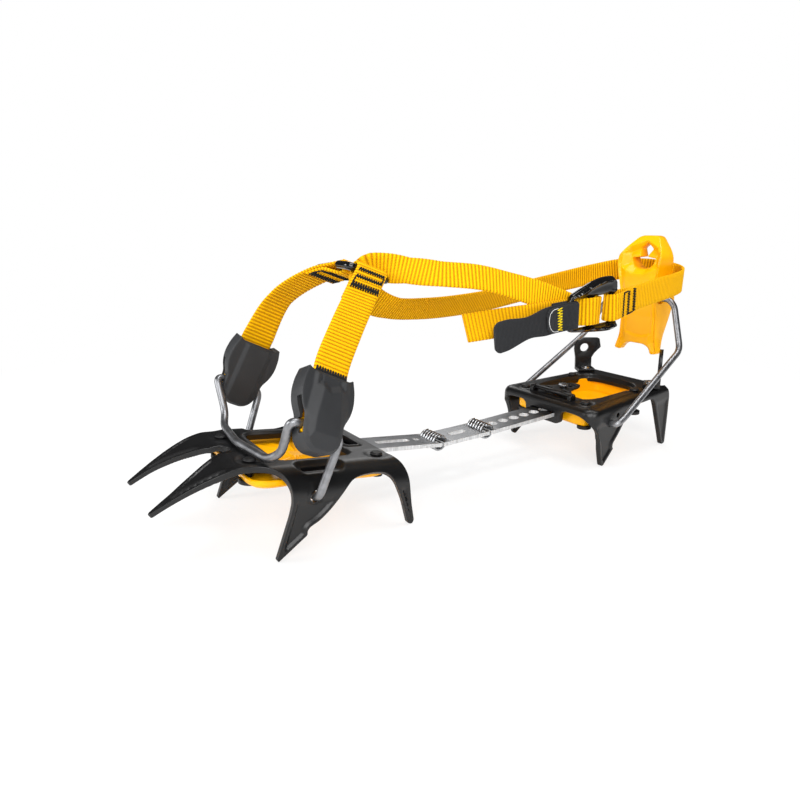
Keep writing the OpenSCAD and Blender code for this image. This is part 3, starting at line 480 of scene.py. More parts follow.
def brushed_steel(name, colour, rough, stretch, metallic=1.0):
    # Rolled or drawn steel, brushed along its length: streaks that spread the highlight one way
    made, tree, shader = start_finish(name, Metallic=metallic, Roughness=rough)
    streak = grain(tree, 1.2, 4.0, stretch)
    add(tree, "ValToRGB", inputs={"Fac": streak},
        stops=[(0.25, shade(colour, 0.72)), (0.75, shade(colour, 1.25))], into=shader.inputs["Base Color"])
    add(tree, "MapRange", inputs={"Value": streak, "To Min": rough - 0.08, "To Max": rough + 0.1},
        into=shader.inputs["Roughness"])
    add(tree, "Bump", inputs={"Height": streak, "Distance": 0.02 * MM, "Strength": 0.4},
        into=shader.inputs["Normal"])
    return made


def moulded_plastic(name, colour, rough, spread, grain_mm, depth_mm, level=0.5):
    # Injection-moulded plastic: an even colour with slow flow variation and the mould's fine grain
    made, tree, shader = start_finish(name, Roughness=rough, Specular_IOR_Level=level)
    add(tree, "ValToRGB", inputs={"Fac": grain(tree, 14.0, 2.0)},
        stops=[(0.3, shade(colour, 1 - spread)), (0.7, shade(colour, 1 + spread))],
        into=shader.inputs["Base Color"])
    fine = grain(tree, grain_mm, 2.0)
    add(tree, "MapRange", inputs={"Value": fine, "To Min": rough - 0.05, "To Max": rough + 0.07},
        into=shader.inputs["Roughness"])
    add(tree, "Bump", inputs={"Height": fine, "Distance": depth_mm * MM, "Strength": 0.5},
        into=shader.inputs["Normal"])
    return made


def woven_webbing(name, crest, valley, pitch_mm, thread_mm, sheen):
    # Woven nylon or polyester webbing: cross ribs over fine warp threads, matt with a faint sheen
    made, tree, shader = start_finish(name, Roughness=0.85, Specular_IOR_Level=0.12, Sheen_Weight=sheen)
    uv = add(tree, "UVMap", {"uv_map": "UVMap"}).outputs["UV"]
    split = add(tree, "SeparateXYZ", inputs={"Vector": uv})
    # Ribs carry most of the tone, darkest in their valleys as painted shade; threads and fibres add a little
    # of the weave's own tone each
    tone = -0.16
    for side, pitch, share in (("Y", thread_mm, 0.22), (None, 0.5, 0.2), ("X", pitch_mm, 0.9)):
        if side is None:
            wave = grain(tree, pitch)
        else:
            wave = add(tree, "Math", {"operation": "PINGPONG"}, {0: split.outputs[side], 1: pitch / 2})
            wave = add(tree, "Math", {"operation": "DIVIDE"}, {0: wave.outputs[0], 1: pitch / 2}).outputs[0]
        tone = add(tree, "Math", {"operation": "MULTIPLY_ADD"}, {0: wave, 1: share, 2: tone}).outputs[0]
    # The valley colour is painted shade in the creases between ribs; the crest is the webbing's own colour
    middle = [0.6 * c + 0.4 * v for c, v in zip(shade(crest), shade(valley))]
    add(tree, "ValToRGB", inputs={"Fac": tone},
        stops=[(0.0, shade(valley)), (0.5, middle), (0.85, shade(crest))], into=shader.inputs["Base Color"])
    add(tree, "Bump", inputs={"Height": tone, "Distance": 0.12 * MM, "Strength": 0.6},
        into=shader.inputs["Normal"])
    return made


def sewing_thread(name, colour):
    # Twisted polyester thread: matt, with a slow change of tone along it
    made, tree, shader = start_finish(name, Roughness=0.7, Specular_IOR_Level=0.3)
    twist = grain(tree, 0.7, 2.0)
    add(tree, "ValToRGB", inputs={"Fac": twist},
        stops=[(0.3, shade(colour, 0.6)), (0.7, shade(colour, 1.3))], into=shader.inputs["Base Color"])
    add(tree, "Bump", inputs={"Height": twist, "Distance": 0.05 * MM, "Strength": 1.0},
        into=shader.inputs["Normal"])
    return made


FINISHES = {
    "coat": powder_coated_steel,
    # Linking bar: zinc-plated strip, brushed along its length; its flat faces are darkened as a painted dim
    # reflection
    "bar": lambda: brushed_steel("zinc_plated_strip", "bar", 0.3, (0.06, 1, 1)),
    # Its sheared edges and punched holes: a lighter steel, as a painted highlight
    "bar_edge_highlight": lambda: brushed_steel("sheared_steel_edge", "bar_edge_highlight", 0.4, (1, 1, 0.2), 0.5),
    # Bails: drawn spring wire
    "wire": lambda: brushed_steel("drawn_spring_wire", "wire", 0.42, (0.3, 0.3, 0.3)),
    # Pins, rivets and coils: bright turned or drawn steel
    "pin": lambda: brushed_steel("turned_steel", "pin", 0.28, (1, 0.2, 1)),
    # Heel piece and anti-balling plates: glossy thermoplastic
    "yellow": lambda: moulded_plastic("moulded_thermoplastic", "plastic", 0.3, 0.05, 0.5, 0.015, 0.24),
    # Strap keepers and studs: filled nylon with a matt mould grain
    "keeper": lambda: moulded_plastic("glass_filled_nylon", "keeper", 0.55, 0.1, 0.7, 0.05, 0.4),
    "stud": lambda: moulded_plastic("black_nylon", "stud", 0.5, 0.15, 0.6, 0.04, 0.35),
    # Buckle and ring: polished black lacquer on metal
    "gloss": lambda: moulded_plastic("black_lacquer", "lacquer", 0.14, 0.1, 1.5, 0.01),
    # Straps: cross-ribbed polyester; pull tab: plain nylon; both with painted shade in the valleys between
    # ribs
    "webbing": lambda: woven_webbing("ribbed_polyester_webbing", "web_crest", "web_valley_shade",
                                     sizes().rib_pitch / MM, 0.8, 0.0),
    "grey_webbing": lambda: woven_webbing("plain_nylon_webbing", "tab_crest", "tab_valley_shade", 0.9, 0.6, 0.03),
    # Tacks of the straps, zigzag and outline stitch of the tab
    "black_thread": lambda: sewing_thread("black_polyester_thread", "thread"),
    "yellow_thread": lambda: sewing_thread("yellow_polyester_thread", "tab_thread"),
    "white_thread": lambda: sewing_thread("white_polyester_thread", "line"),
}
MADE = {}


def finish(key):
    """The finish of that name, made once."""
    if key not in MADE:
        MADE[key] = FINISHES[key]()
    return MADE[key]


# Webbing

def spline(points, per, even=False):
    """A smooth line through points: even steps as the solids' routes, or centripetal."""
    p = np.asarray(points, float)
    out = []
    for i in range(len(p) - 1):
        b, c = p[i], p[i + 1]
        if even:
            a, d = p[max(i - 1, 0)], p[min(i + 2, len(p) - 1)]
            f = np.arange(per)[:, None] / per
            out.append(0.5 * (2 * b + (c - a) * f + (2 * a - 5 * b + 4 * c - d) * f ** 2
                              + (3 * b - a - 3 * c + d) * f ** 3))
            continue
        a = p[i - 1] if i else 2 * b - c
        d = p[i + 2] if i + 2 < len(p) else 2 * c - b
        t0, t1 = 0.0, math.sqrt(np.linalg.norm(b - a))
        t2 = t1 + math.sqrt(np.linalg.norm(c - b))
        t3 = t2 + math.sqrt(np.linalg.norm(d - c))
        t = np.linspace(t1, t2, per, endpoint=False)[:, None]
        mix = lambda q, r, s, e: q * (e - t) / (e - s) + r * (t - s) / (e - s)
        ab, bc, cd = mix(a, b, t0, t1), mix(b, c, t1, t2), mix(c, d, t2, t3)
        out.append(mix(mix(ab, bc, t0, t2), mix(bc, cd, t1, t3), t1, t2))
    return np.concatenate(out + [p[-1:]])


class Strap:
    """The flat run of a strap: places at a length along it, a width across it and a height."""

    def __init__(self, rows, width, thick, even=False, square=True, per=16):
        self.width, self.thick = width, thick
        centre = spline([r[0] for r in rows], per, even)
        turned = [unit(np.linspace(a[1], b[1], per, endpoint=False)) for a, b in zip(rows, rows[1:])]
        wide = np.concatenate(turned + [unit(rows[-1][1])[None]])
        self.s = np.concatenate([[0], np.cumsum(np.linalg.norm(np.diff(centre, axis=0), axis=1))])
        tangent = unit(np.gradient(centre, self.s, axis=0))
        straight = unit(wide - tangent * np.sum(wide * tangent, axis=1, keepdims=True))
        self.centre, self.wide = centre, straight if square else wide
        self.normal = unit(np.cross(tangent, straight))
        self.length = self.s[-1]

    def at(self, s, x, h):
        """Places at lengths along the run, widths across it and heights above it."""
        s = np.asarray(s, float)
        look = lambda a: np.stack([np.interp(s, self.s, a[:, k]) for k in range(3)], -1)
        return look(self.centre) + look(self.wide) * np.asarray(x)[..., None] \
            + look(self.normal) * np.asarray(h)[..., None]

    def nearest(self, point, after=0.0):
        """Length along the run, past another, where it comes nearest to a point."""
        d = np.linalg.norm(self.centre - np.asarray(point, float), axis=1)
        return float(self.s[np.argmin(np.where(self.s < after, 1e9, d))])


# A rib's profile along the run, as shares of its pitch and of the thickness, and the points across a face
RIB = [(0.0, 0.66), (0.12, 0.86), (0.32, 0.98), (0.5, 1.0), (0.68, 0.98), (0.88, 0.86)]
ACROSS = [-0.95, -0.66, -0.33, 0.0, 0.33, 0.66, 0.95]


def webbing(name, strap, pitch, first, last, material, half_width=None):
    """Ribbed webbing over part of a strap's run, from one rib to another."""
    stations = [((k + f) * pitch, deep) for k in range(first, last) for f, deep in RIB]
    stations.append((last * pitch, RIB[0][1]))
    rings, uv = [], []
    for s, deep in stations:
        half = half_width(s) if half_width else strap.width / 2
        half, high = half - 0.25 * (1 - deep), strap.thick / 2 * deep
        face, side = [half * a for a in ACROSS], high * 0.4
        x = face + [half, half] + face[::-1] + [-half, -half]
        h = [high] * len(face) + [side, -side] + [-high] * len(face) + [-side, side]
        rings.append(strap.at(np.full(len(x), s), np.array(x), np.array(h)))
        uv += [(s, v) for v in x]
    points, faces = loft(rings)
    return make_piece(name, points, faces, material, uv, smooth=50)


def bar_tack(name, strap, spots, lift, material, d=0.55):
    """Zigzag stitches on a strap: spots are (start, end, from x, to x, stitches) along the run."""
    path = []
    for s0, s1, x0, x1, count in spots:
        x = np.linspace(x0, x1, count)
        s = np.where(np.arange(count) % 2, s1, s0)
        path.append(strap.at(s, x, np.full(count, lift)))
    path = np.concatenate(path)
    steps = [a + (b - a) * f for a, b in zip(path, path[1:]) for f in (0, 0.15, 0.5, 0.85)]
    s = spots[0][0]
    points, faces = tube(np.array(steps + [path[-1]]), d, 6, strap.at(s, 0.0, 1.0) - strap.at(s, 0.0, 0.0))
    return make_piece(name, points, faces, material, smooth=60)


# Front frame

# Half width of the flat top and the shoulders' radius; root, tip and drop of the front points
FRONT_HALF, FRONT_BEND = 30.0, 10.5
TOE_ROOT, TOE_TIP, TOE_DROP = 20.0, -17.5, 19.5


def mirrored(half):
    """A closed outline from its half on the +Y side, which starts and ends on the middle line."""
    half = np.asarray(half, float)
    other = half[::-1] * (1, -1)
    keep = np.abs(other[:, 1]) > 1e-6
    return np.concatenate([half, other[keep]])


def front_sheet(p, h):
    """Bends the flat front plate: round shoulders, straight walls, front points curved down."""
    u, q = p.T
    a = np.clip((np.abs(q) - FRONT_HALF) / FRONT_BEND, 0, math.pi / 2)
    wall = np.maximum(np.abs(q) - FRONT_HALF - FRONT_BEND * math.pi / 2, 0)
    f = np.clip((TOE_ROOT - u) / (TOE_ROOT - TOE_TIP), 0, 1.1)
    h = h * (1 - 0.3 * smoothstep(f, 0.1, 1.0))
    slope = TOE_DROP * 1.45 / (TOE_ROOT - TOE_TIP) * f ** 0.45
    lean = 1 / np.sqrt(1 + slope ** 2)
    v = np.minimum(np.abs(q), FRONT_HALF) + (FRONT_BEND + h) * np.sin(a)
    w = -PLATE_T / 2 - FRONT_BEND * (1 - np.cos(a)) - wall + h * np.cos(a) * lean - TOE_DROP * f ** 1.45
    return front_place(u - h * slope * lean * (f > 0), np.sign(q) * v, w)


def capsule(points, a, b):
    """Distance of flat points from a straight piece."""
    a, d = np.asarray(a, float), np.asarray(b, float) - np.asarray(a, float)
    f = np.clip((points - a) @ d / (d @ d), 0, 1)
    return np.linalg.norm(points - a - f[:, None] * d, axis=1)


# Half outline of the flat plate, and the radii of its sharp corners
FRONT_EDGE = [
    (23.5, 0), (22.9, 2.3), (21.2, 4.0), (19, 4.5), (16, 5.2), (11, 8), (2, 13), (-8, 17.3), (-17.4, 19.1),
    (-17.9, 20.4), (-17.4, 21.6), (-8, 23.9), (2, 26.4), (11, 28.4), (20, 29.2), (24.5, 29.5), (29, 31),
    (32.6, 33.8), (35.4, 37.6), (37.4, 42), (38.5, 46.5), (38.8, 50), (38, 55.5), (36.6, 61), (34.7, 68.8),
    (33, 75.6), (33.6, 76.3), (47.1, 65.2), (46.9, 63), (48.4, 61.3), (52.7, 59), (57.5, 54.7), (62, 49.4),
    (65.5, 44.8), (69, 41.6), (74, 40.1), (82, 39.4), (88, 40.1), (91.2, 42.4), (93.4, 45.5), (96, 50),
    (98.6, 55), (103.4, 67.2), (104.5, 68), (106.2, 68), (107.1, 66.2), (104.5, 57.5), (101.8, 45.5),
    (100.2, 39.6), (98.6, 35), (97.3, 32), (97, 28), (97, 0)]
SHARP = {(33, 75.6): 0.4, (33.6, 76.3): 0.4, (47.1, 65.2): 0.7, (104.5, 68): 0.5, (106.2, 68): 0.6,
         (-17.4, 19.1): 0.6, (-17.9, 20.4): 0.8, (-17.4, 21.6): 0.6}
# Openings: the sides and corner radius of the window and of the bar's slot; middle line, place and
# half width of a side slot
FRONT_WINDOW, FRONT_BAR_SLOT = (39, 77, -22.5, 22.5, 5), (82, 89, -11, 11, 1.6)
SLOT_LINE, SLOT_Y, SLOT_HALF = ((47.8, 32.0), (62.2, 32.0)), 32, 1.9
# Place and radius of the bail's hole, and the places of the studs
BAIL_HOLE = (49.5, 46.9, 2.7)
FRONT_STUDS = [(26.0, 19.5), (90.5, 26.0)]


def front_relief(p, h, loops):
    """Pressed detail: dished slots, dimples under the studs, grooved points with raised lips."""
    u, q = p[:, 0], np.abs(p[:, 1])
    here = np.stack([u, q], -1)
    rise = np.zeros(len(p))
    edge = edge_distance(p, loops[:1])
    dish = capsule(here, *SLOT_LINE) - SLOT_HALF
    rise -= 2.2 * smoothstep(-dish, -4.0, -0.2)
    for place in FRONT_STUDS:
        away = np.hypot(u - place[0], q - place[1])
        rise -= 0.55 * smoothstep(-away, -7.5, -4.2)
    toe = smoothstep(-u, -17, -9)
    rise -= toe * 1.2 * np.exp(-((edge - 2.3) / 0.7) ** 2)
    rise += toe * 0.5 * smoothstep(edge, 2.8, 4.6)
    tooth = smoothstep(q, 47, 52)
    rise -= tooth * 1.4 * smoothstep(edge, 1.5, 2.7)
    crotch = np.hypot(u - 19, q) - 4.5
    rise -= (u > 14) * 0.35 * np.exp(-((crotch - 2.3) / 0.5) ** 2)
    rise -= 1.1 * smoothstep(-edge_distance(p, loops[1:2]), -2.4, -0.3) ** 2
    rise += 0.7 * smoothstep(-edge_distance(p, loops[2:3]), -2.4, -0.9)
    hole = np.hypot(u - BAIL_HOLE[0], q - BAIL_HOLE[1]) - BAIL_HOLE[2]
    rise += 0.5 * smoothstep(-hole, -1.8, -0.6) * (hole > -0.4)
    return rise


def front_fine(p):
    """Where the front plate's skin is fine: its points, slots and the window's sides."""
    u, q = p[:, 0], np.abs(p[:, 1])
    slot = (np.abs(q - SLOT_Y) < 7) & (u > 41) & (u < 69)
    return (u < 24) | (q > 45) | slot | (u > 78) & (q < 14) | (np.abs(q - 24) < 3)


class CRAMPON_OT_front_frame(bpy.types.Operator):
    """Makes the front frame, one pressed sheet with two front points and four downward points"""
    bl_idname = "crampon.front_frame"
    bl_label = "Front frame"

    def execute(self, context):
        half = mirrored(FRONT_EDGE)
        both = [SHARP.get((x, abs(y)), 2.5) if abs(y) > 0 else 0 for x, y in half]
        outline = round_corners(half, both, 3)
        holes = [round_rect(*FRONT_WINDOW), round_rect(*FRONT_BAR_SLOT)]
        for side in (1, -1):
            holes.append(round_rect(46, 64, side * SLOT_Y - SLOT_HALF, side * SLOT_Y + SLOT_HALF, 1.8))
            holes.append(circle(BAIL_HOLE[0], side * BAIL_HOLE[1], BAIL_HOLE[2]))
        points, faces = plate(outline, holes, front_sheet, edge=sizes().edge / MM, step=1.7,
                              fine=front_fine, relief=front_relief)
        obj = make_piece("front_frame_sheet", points, faces, finish("coat"), smooth=50, weighted=True)
        seat(obj, "front_section", "black_steel", "front_frame")
        return {"FINISHED"}


# Rear frame

# The top's height, front edge and half width there, the sides' taper and the corners' radius
REAR_TOP, REAR_FRONT, REAR_HALF = 9.9, 58.0, 36.0
REAR_TAPER, REAR_CORNER = math.radians(5.0), 4.0
SIDE_DIR = np.array([math.cos(REAR_TAPER), -math.sin(REAR_TAPER)])
SIDE_OUT = np.array([math.sin(REAR_TAPER), math.cos(REAR_TAPER)])
CORNER_AT = np.array([REAR_FRONT + REAR_CORNER,
                      REAR_HALF - REAR_CORNER * (1 + math.sin(REAR_TAPER)) / math.cos(REAR_TAPER)])


def on_side(s, e):
    """Flat point at a station along the side's bend line and a distance beyond it."""
    return tuple(np.array([REAR_FRONT, REAR_HALF]) + SIDE_DIR * (s - REAR_FRONT) + SIDE_OUT * e)


def on_corner(degrees, e):
    """Flat point at an angle round the corner's bend line and a distance beyond it."""
    a = math.radians(degrees)
    return tuple(CORNER_AT + (REAR_CORNER + e) * np.array([-math.cos(a), math.sin(a)]))


def rear_sheet(p, h):
    """Bends the flat rear plate down along its front edge, round corners and tapered sides."""
    s, q = p[:, 0], np.abs(p[:, 1])
    flat = np.stack([s, q], -1)
    along = (flat - CORNER_AT) @ SIDE_DIR
    radial = flat - CORNER_AT
    front_e, side_e = REAR_FRONT - s, (flat - (REAR_FRONT, REAR_HALF)) @ SIDE_OUT
    reach = np.linalg.norm(radial, axis=1)
    is_front, is_side = q <= CORNER_AT[1], along >= 0
    at_front = np.where(s < REAR_FRONT + REAR_CORNER, front_e, -1)
    e = np.where(is_front, at_front, np.where(is_side, side_e, reach - REAR_CORNER))
    at_corner = radial / np.maximum(reach, 1e-6)[:, None]
    out = np.where(is_front[:, None], (-1.0, 0.0), np.where(is_side[:, None], SIDE_OUT, at_corner))
    foot = flat - out * np.maximum(e, 0)[:, None]
    r = 2.5 + np.clip(out[:, 1], 0, 1)
    e = np.maximum(e, 0)
    a = np.minimum(e / r, math.pi / 2)
    drop = r * (1 - np.cos(a)) + np.maximum(e - r * math.pi / 2, 0)
    place = foot + out * ((r + h) * np.sin(a))[:, None]
    height = REAR_TOP - PLATE_T / 2 - drop + h * np.cos(a)
    return rear_place(place[:, 0], np.sign(p[:, 1]) * place[:, 1], height)


# Half outline: the front edge, the rounded corner, the side with its two points, and the back edge
REAR_CORNER_EDGE = [(6, 6.4), (28, 8.4), (54, 12.5), (82, 18)]
REAR_SIDE_EDGE = [
    (61.6, 24.5), (63.2, 31.5), (65, 38.4), (66, 39.2), (67.4, 39.2), (77.4, 30.4), (76.3, 28.8), (76.8, 26.6),
    (82.3, 21.3), (88.5, 13.8), (92, 9.2), (96, 7), (100, 6.3), (119, 6.3), (121.6, 7.8), (124, 12.4),
    (136.1, 42.4), (137, 43), (139.6, 43), (140.4, 42), (141, 20.4), (141, 8.4), (139.4, 3.6), (136.6, 0.4)]
REAR_SHARP = {(66, 39.2), (67.4, 39.2), (77.4, 30.4), (137, 43), (139.6, 43)}
REAR_EDGE = [(42.7, 0), (42.7, 12), (44.5, 15), (50.5, 15.4), (52.4, 17.4), (52.7, 20), (52.6, 25), (52.4, 29)]
REAR_EDGE += [on_corner(*p) for p in REAR_CORNER_EDGE] + [on_side(*p) for p in REAR_SIDE_EDGE]
REAR_EDGE += [(136, 25.5), (136, 0)]
# Openings: the window and the bar's slot, the wire's hole with a small one behind it, and the studs
REAR_WINDOW, REAR_BAR_SLOT = (68.5, 124, -22, 22, 14, 8), (46.6, 49.8, -10.3, 10.3, 0.6)
REAR_HOLES = ((on_side(73, 12.2), 2.3), (on_side(80, 8.5), 1.5))
REAR_STUDS = ((64.5, 26.0), (112.0, 26.6))
# The lugs of the lever's hinge pin
LUG_EDGE = [(60, 9.6), (65, 9.6), (65, 12.6), (63.6, 14.1), (61.4, 14.1), (60, 12.6)]
LUG_Y = 16.3


def rear_relief(p, h, loops):
    """Pressed detail: a stepped rim, a turned-down window edge, lips on the points, stud dimples."""
    s, q = p[:, 0], np.abs(p[:, 1])
    edge, window = edge_distance(p, loops[:1]), edge_distance(p, loops[1:2])
    beyond = (np.stack([s, q], -1) - (REAR_FRONT, REAR_HALF)) @ SIDE_OUT
    # A step runs round the top inside the bends, and the window's edge turns down
    inset = np.minimum(s - REAR_FRONT, -beyond)
    rise = -0.8 * (1 - smoothstep(inset, 1.2, 2.8)) * smoothstep(inset, -4, -1)
    rise -= 2.4 * smoothstep(-window, -2.8, -0.4) ** 2
    rise -= smoothstep(beyond, 9, 14) * 0.9 * smoothstep(edge, 1.8, 2.8)
    for place in REAR_STUDS:
        rise -= 0.5 * smoothstep(-np.hypot(s - place[0], q - place[1]), -6.6, -4.0)
    return rise


def rear_fine(p):
    """Where the rear plate's skin is fine: its points, front flange, back and the window's sides."""
    s, q = p[:, 0], np.abs(p[:, 1])
    return (q > 29) | (s < 73) | (s > 118) | (q > 18) & (q < 27)


class CRAMPON_OT_rear_frame(bpy.types.Operator):
    """Makes the rear frame, a pressed sheet with a front flange and four points, and its lugs"""
    bl_idname = "crampon.rear_frame"
    bl_label = "Rear frame"

    def execute(self, context):
        half = mirrored(REAR_EDGE)
        tips = np.array([on_side(*p) for p in REAR_SHARP])
        sharp = [np.abs(tips - np.abs(p)).max(1).min() < 1e-3 for p in half]
        radii = [0 if abs(y) < 1e-6 else 0.6 if tip else 2.4 for (x, y), tip in zip(half, sharp)]
        outline = round_corners(half, radii, 3)
        holes = [round_rect(*REAR_WINDOW), round_rect(*REAR_BAR_SLOT)]
        holes += [circle(x, side * y, r) for side in (1, -1) for (x, y), r in REAR_HOLES]
        points, faces = plate(outline, holes, rear_sheet, edge=sizes().edge / MM, step=1.7,
                              fine=rear_fine, relief=rear_relief)
        obj = make_piece("rear_frame_sheet", points, faces, finish("coat"), smooth=50, weighted=True)
        seat(obj, "rear_section", "black_steel", "rear_frame")
        for side, name in ((1, "far_lever_lug"), (-1, "near_lever_lug")):
            shape = round_corners(LUG_EDGE, [0, 0, 1, 1.4, 1.4, 1], 3)
            place = lambda p, h, side=side: rear_place(p[:, 0], side * (LUG_Y + h), p[:, 1])
            points, faces = plate(shape, [], place, thick=3.0, edge=0.35, step=1.5)
            seat(make_piece(name, points, faces, finish("coat"), smooth=45), "rear_section", "black_steel")
        return {"FINISHED"}


# Anti-balling plates

def tray(loop, place, rim, floor, wall, folds, crown, ray):
    """A moulded tray: outer skin, rim, inner wall and a floor with rays folded into it."""
    loop = np.asarray(loop, float)
    centre = loop.mean(0)
    scale = lambda f: centre + (loop - centre) * f
    size = np.linalg.norm(loop - centre, axis=1)
    inset = lambda d: centre + (loop - centre) * (1 - d / size)[:, None]
    angle = np.arctan2(*(loop - centre).T[::-1])
    fold = np.abs(((angle * folds / (2 * math.pi)) % 1) * 2 - 1)
    rings = [(scale(0.02), floor - 1), (scale(0.5), floor - 1),
             (inset(3.0), floor - 1), (inset(0.6), floor + 0.4),
             (inset(0), floor + 1.4), (inset(0), rim - 0.5), (inset(0.5), rim), (inset(wall - 0.4), rim),
             (inset(wall), rim - 0.5), (inset(wall + 0.6), floor + 2.2), (inset(wall + 2), floor + wall)]
    made = [place(p, np.full(len(p), z)) for p, z in rings]
    for f in (0.86, 0.7, 0.55, 0.4, 0.26, 0.15):
        high = floor + wall + crown * (1 - f) + ray * fold * math.sin(math.pi * f)
        made.append(place(scale(0.9 * f), high))
    made += [place(scale(0.11), np.full(len(loop), floor + wall + crown + 0.9)),
             place(scale(0.02), np.full(len(loop), floor + wall + crown + 1.0))]
    return loft(made)


FRONT_TRAY = (22.5, 96, -33, 33, 9, 6)
REAR_TRAY = [(60.5, -29.6), (107, -26.6), (129, -16.6), (129, 16.6), (107, 26.6), (60.5, 29.6)]


class CRAMPON_OT_plates(bpy.types.Operator):
    """Makes the two anti-balling plates, moulded trays with folded floors"""
    bl_idname = "crampon.plates"
    bl_label = "Anti-balling plates"

    def execute(self, context):
        loop = spaced(round_rect(*FRONT_TRAY), 2.0)
        points, faces = tray(loop, lambda p, z: front_place(p[:, 0], p[:, 1], z),
                             rim=-6.2, floor=-9.4, wall=1.6, folds=18, crown=1.6, ray=1.5)
        seat(make_piece("front_plate_tray", points, faces, finish("yellow"), smooth=28),
             "front_section", "yellow_plastic", "front_anti_balling_plate")
        loop = spaced(round_corners(REAR_TRAY, 4, 4), 2.2)
        points, faces = tray(loop, lambda p, z: rear_place(p[:, 0], p[:, 1], z),
                             rim=6.85, floor=-4.6, wall=1.8, folds=12, crown=0.3, ray=0.7)
        obj = make_piece("rear_plate_tray", points, faces, finish("yellow"), smooth=28)
        # A notch in the front wall lets the bar slide through
        along, up = (rear_place(*way) - rear_place(0, 0, 0) for way in ((1, 0, 0), (0, 0, 1)))
        cut(obj, cutter("block", (12, 22, 20), rear_place(62.5, 0, 8.15), along, up))
        seat(obj, "rear_section", "yellow_plastic", "rear_anti_balling_plate")
        return {"FINISHED"}


# Wires and coils

# The straight of the front bail that carries a keeper: its two ends and its place across
LOOP_FRONT, LOOP_REAR, LOOP_Y = (39.0, 65.0), (55.5, 57.0), 47.0
BAIL_PIVOT = front_place(BAIL_HOLE[0], 0.0, -12.4)
# The front bail's cross wire: its station, half length and forward bow
TOE_BAR = (31.0, 32.0, 4.0)
TOE_BAR_Z = front_place(TOE_BAR[0], 0.0, WIRE_D / 2 + GAP)[2] + 0.4
REAR_PIVOT = rear_place(73.0, 0.0, -1.8)
# The heel piece's middle and the height of the wire in it
HEEL_X, HEEL_WIRE_Z = 326.0, 98.5
# Hinge coils: wire, radius to the wire's middle, pitch, turns and steps in a turn
COIL_D, COIL_R, COIL_PITCH, COIL_TURNS, COIL_STEPS = 1.6, 4.1, 2.3, 6, 28


def mirror_path(half, *middle):
    """A path from its half on the near side, through points on the middle line."""
    half = [np.asarray(p, float) for p in half]
    return half + list(middle) + [p * (1, -1, 1) for p in reversed(half)]


class CRAMPON_OT_wires(bpy.types.Operator):
    """Makes the two wire bails and the two hinge coils"""
    bl_idname = "crampon.wires"
    bl_label = "Bails and coils"

    def execute(self, context):
        x, z = BAIL_PIVOT[0], BAIL_PIVOT[2]
        half = [(x, -35, z), (x, -44.6, z), (LOOP_REAR[0] + 3, -LOOP_Y, LOOP_REAR[1] - 1.45),
                (LOOP_FRONT[0] - 4.5, -LOOP_Y, LOOP_FRONT[1] + 2.2),
                (TOE_BAR[0] + 3.5, -TOE_BAR[1] - 4.5, TOE_BAR_Z + 5), (TOE_BAR[0], -TOE_BAR[1] + 3, TOE_BAR_Z)]
        front = mirror_path(half, (TOE_BAR[0] - TOE_BAR[2], 0, TOE_BAR_Z + 0.6))
        x, z = REAR_PIVOT[0], REAR_PIVOT[2]
        half = [(x, -31.8, z), (x, -43.8, z), (x + 6, -44.2, z + 3.4), (318, -39.5, 67.5), (325, -27, 94.5),
                (HEEL_X, -22, HEEL_WIRE_Z), (HEEL_X, -8, HEEL_WIRE_Z)]
        for bail, path in (("front_bail", front), ("rear_bail", mirror_path(half))):
            points, faces = tube(round_path(path, 5.0, 10), WIRE_D, 20)
            obj = make_piece(bail + "_wire", points, faces, finish("wire"), smooth=60)
            seat(obj, bail, "wire_steel", bail)
        for end, hinge, pitch, body in (("front", HINGE_FRONT, 0.0, "front_section"),
                                        ("rear", HINGE_REAR, LINK_PITCH, "bar_middle")):
            a = np.linspace(0, COIL_TURNS * 2 * math.pi, COIL_TURNS * COIL_STEPS + 1)
            across = COIL_PITCH * (a / (2 * math.pi) - COIL_TURNS / 2)
            path = tilted(hinge, pitch, COIL_R * np.sin(a), across, COIL_R * np.cos(a))
            ends = [path[0] - (COIL_D, 0, 0), path[-1] + (COIL_D, 0, 0)]
            points, faces = tube(np.concatenate([ends[:1], path, ends[1:]]), COIL_D, 10, (0, 0, 1))
            seat(make_piece(end + "_coil_wire", points, faces, finish("pin"), smooth=60), body, "bar_steel",
                 end + "_hinge_coil")
        return {"FINISHED"}


# Linking bar

BAR_T, BAR_HALF, BAR_REAR_LEN, BAR_TIP_R, BAR_CORNER_R = 2.5, 10.0, 92.0, 4.0, 0.3
# A segment ends in a thin rod for its coil: the end's gap to the hinge, the rod's inner side,
# and the slot's end and half width
BAR_END, BAR_ROD, BAR_SLOT_END, BAR_SLOT_HALF = 0.57, 2.73, 5.5, 8.8
# Setting holes of the rear segment: first station, pitch, radius and count
SET_FIRST, SET_PITCH, SET_R, SET_COUNT = 10, 9, 3.1, 9
# Faces whose normal points up or down by less than this are sheared edges, which take the lighter finish as a
# painted highlight
EDGE_LEAN = 0.8


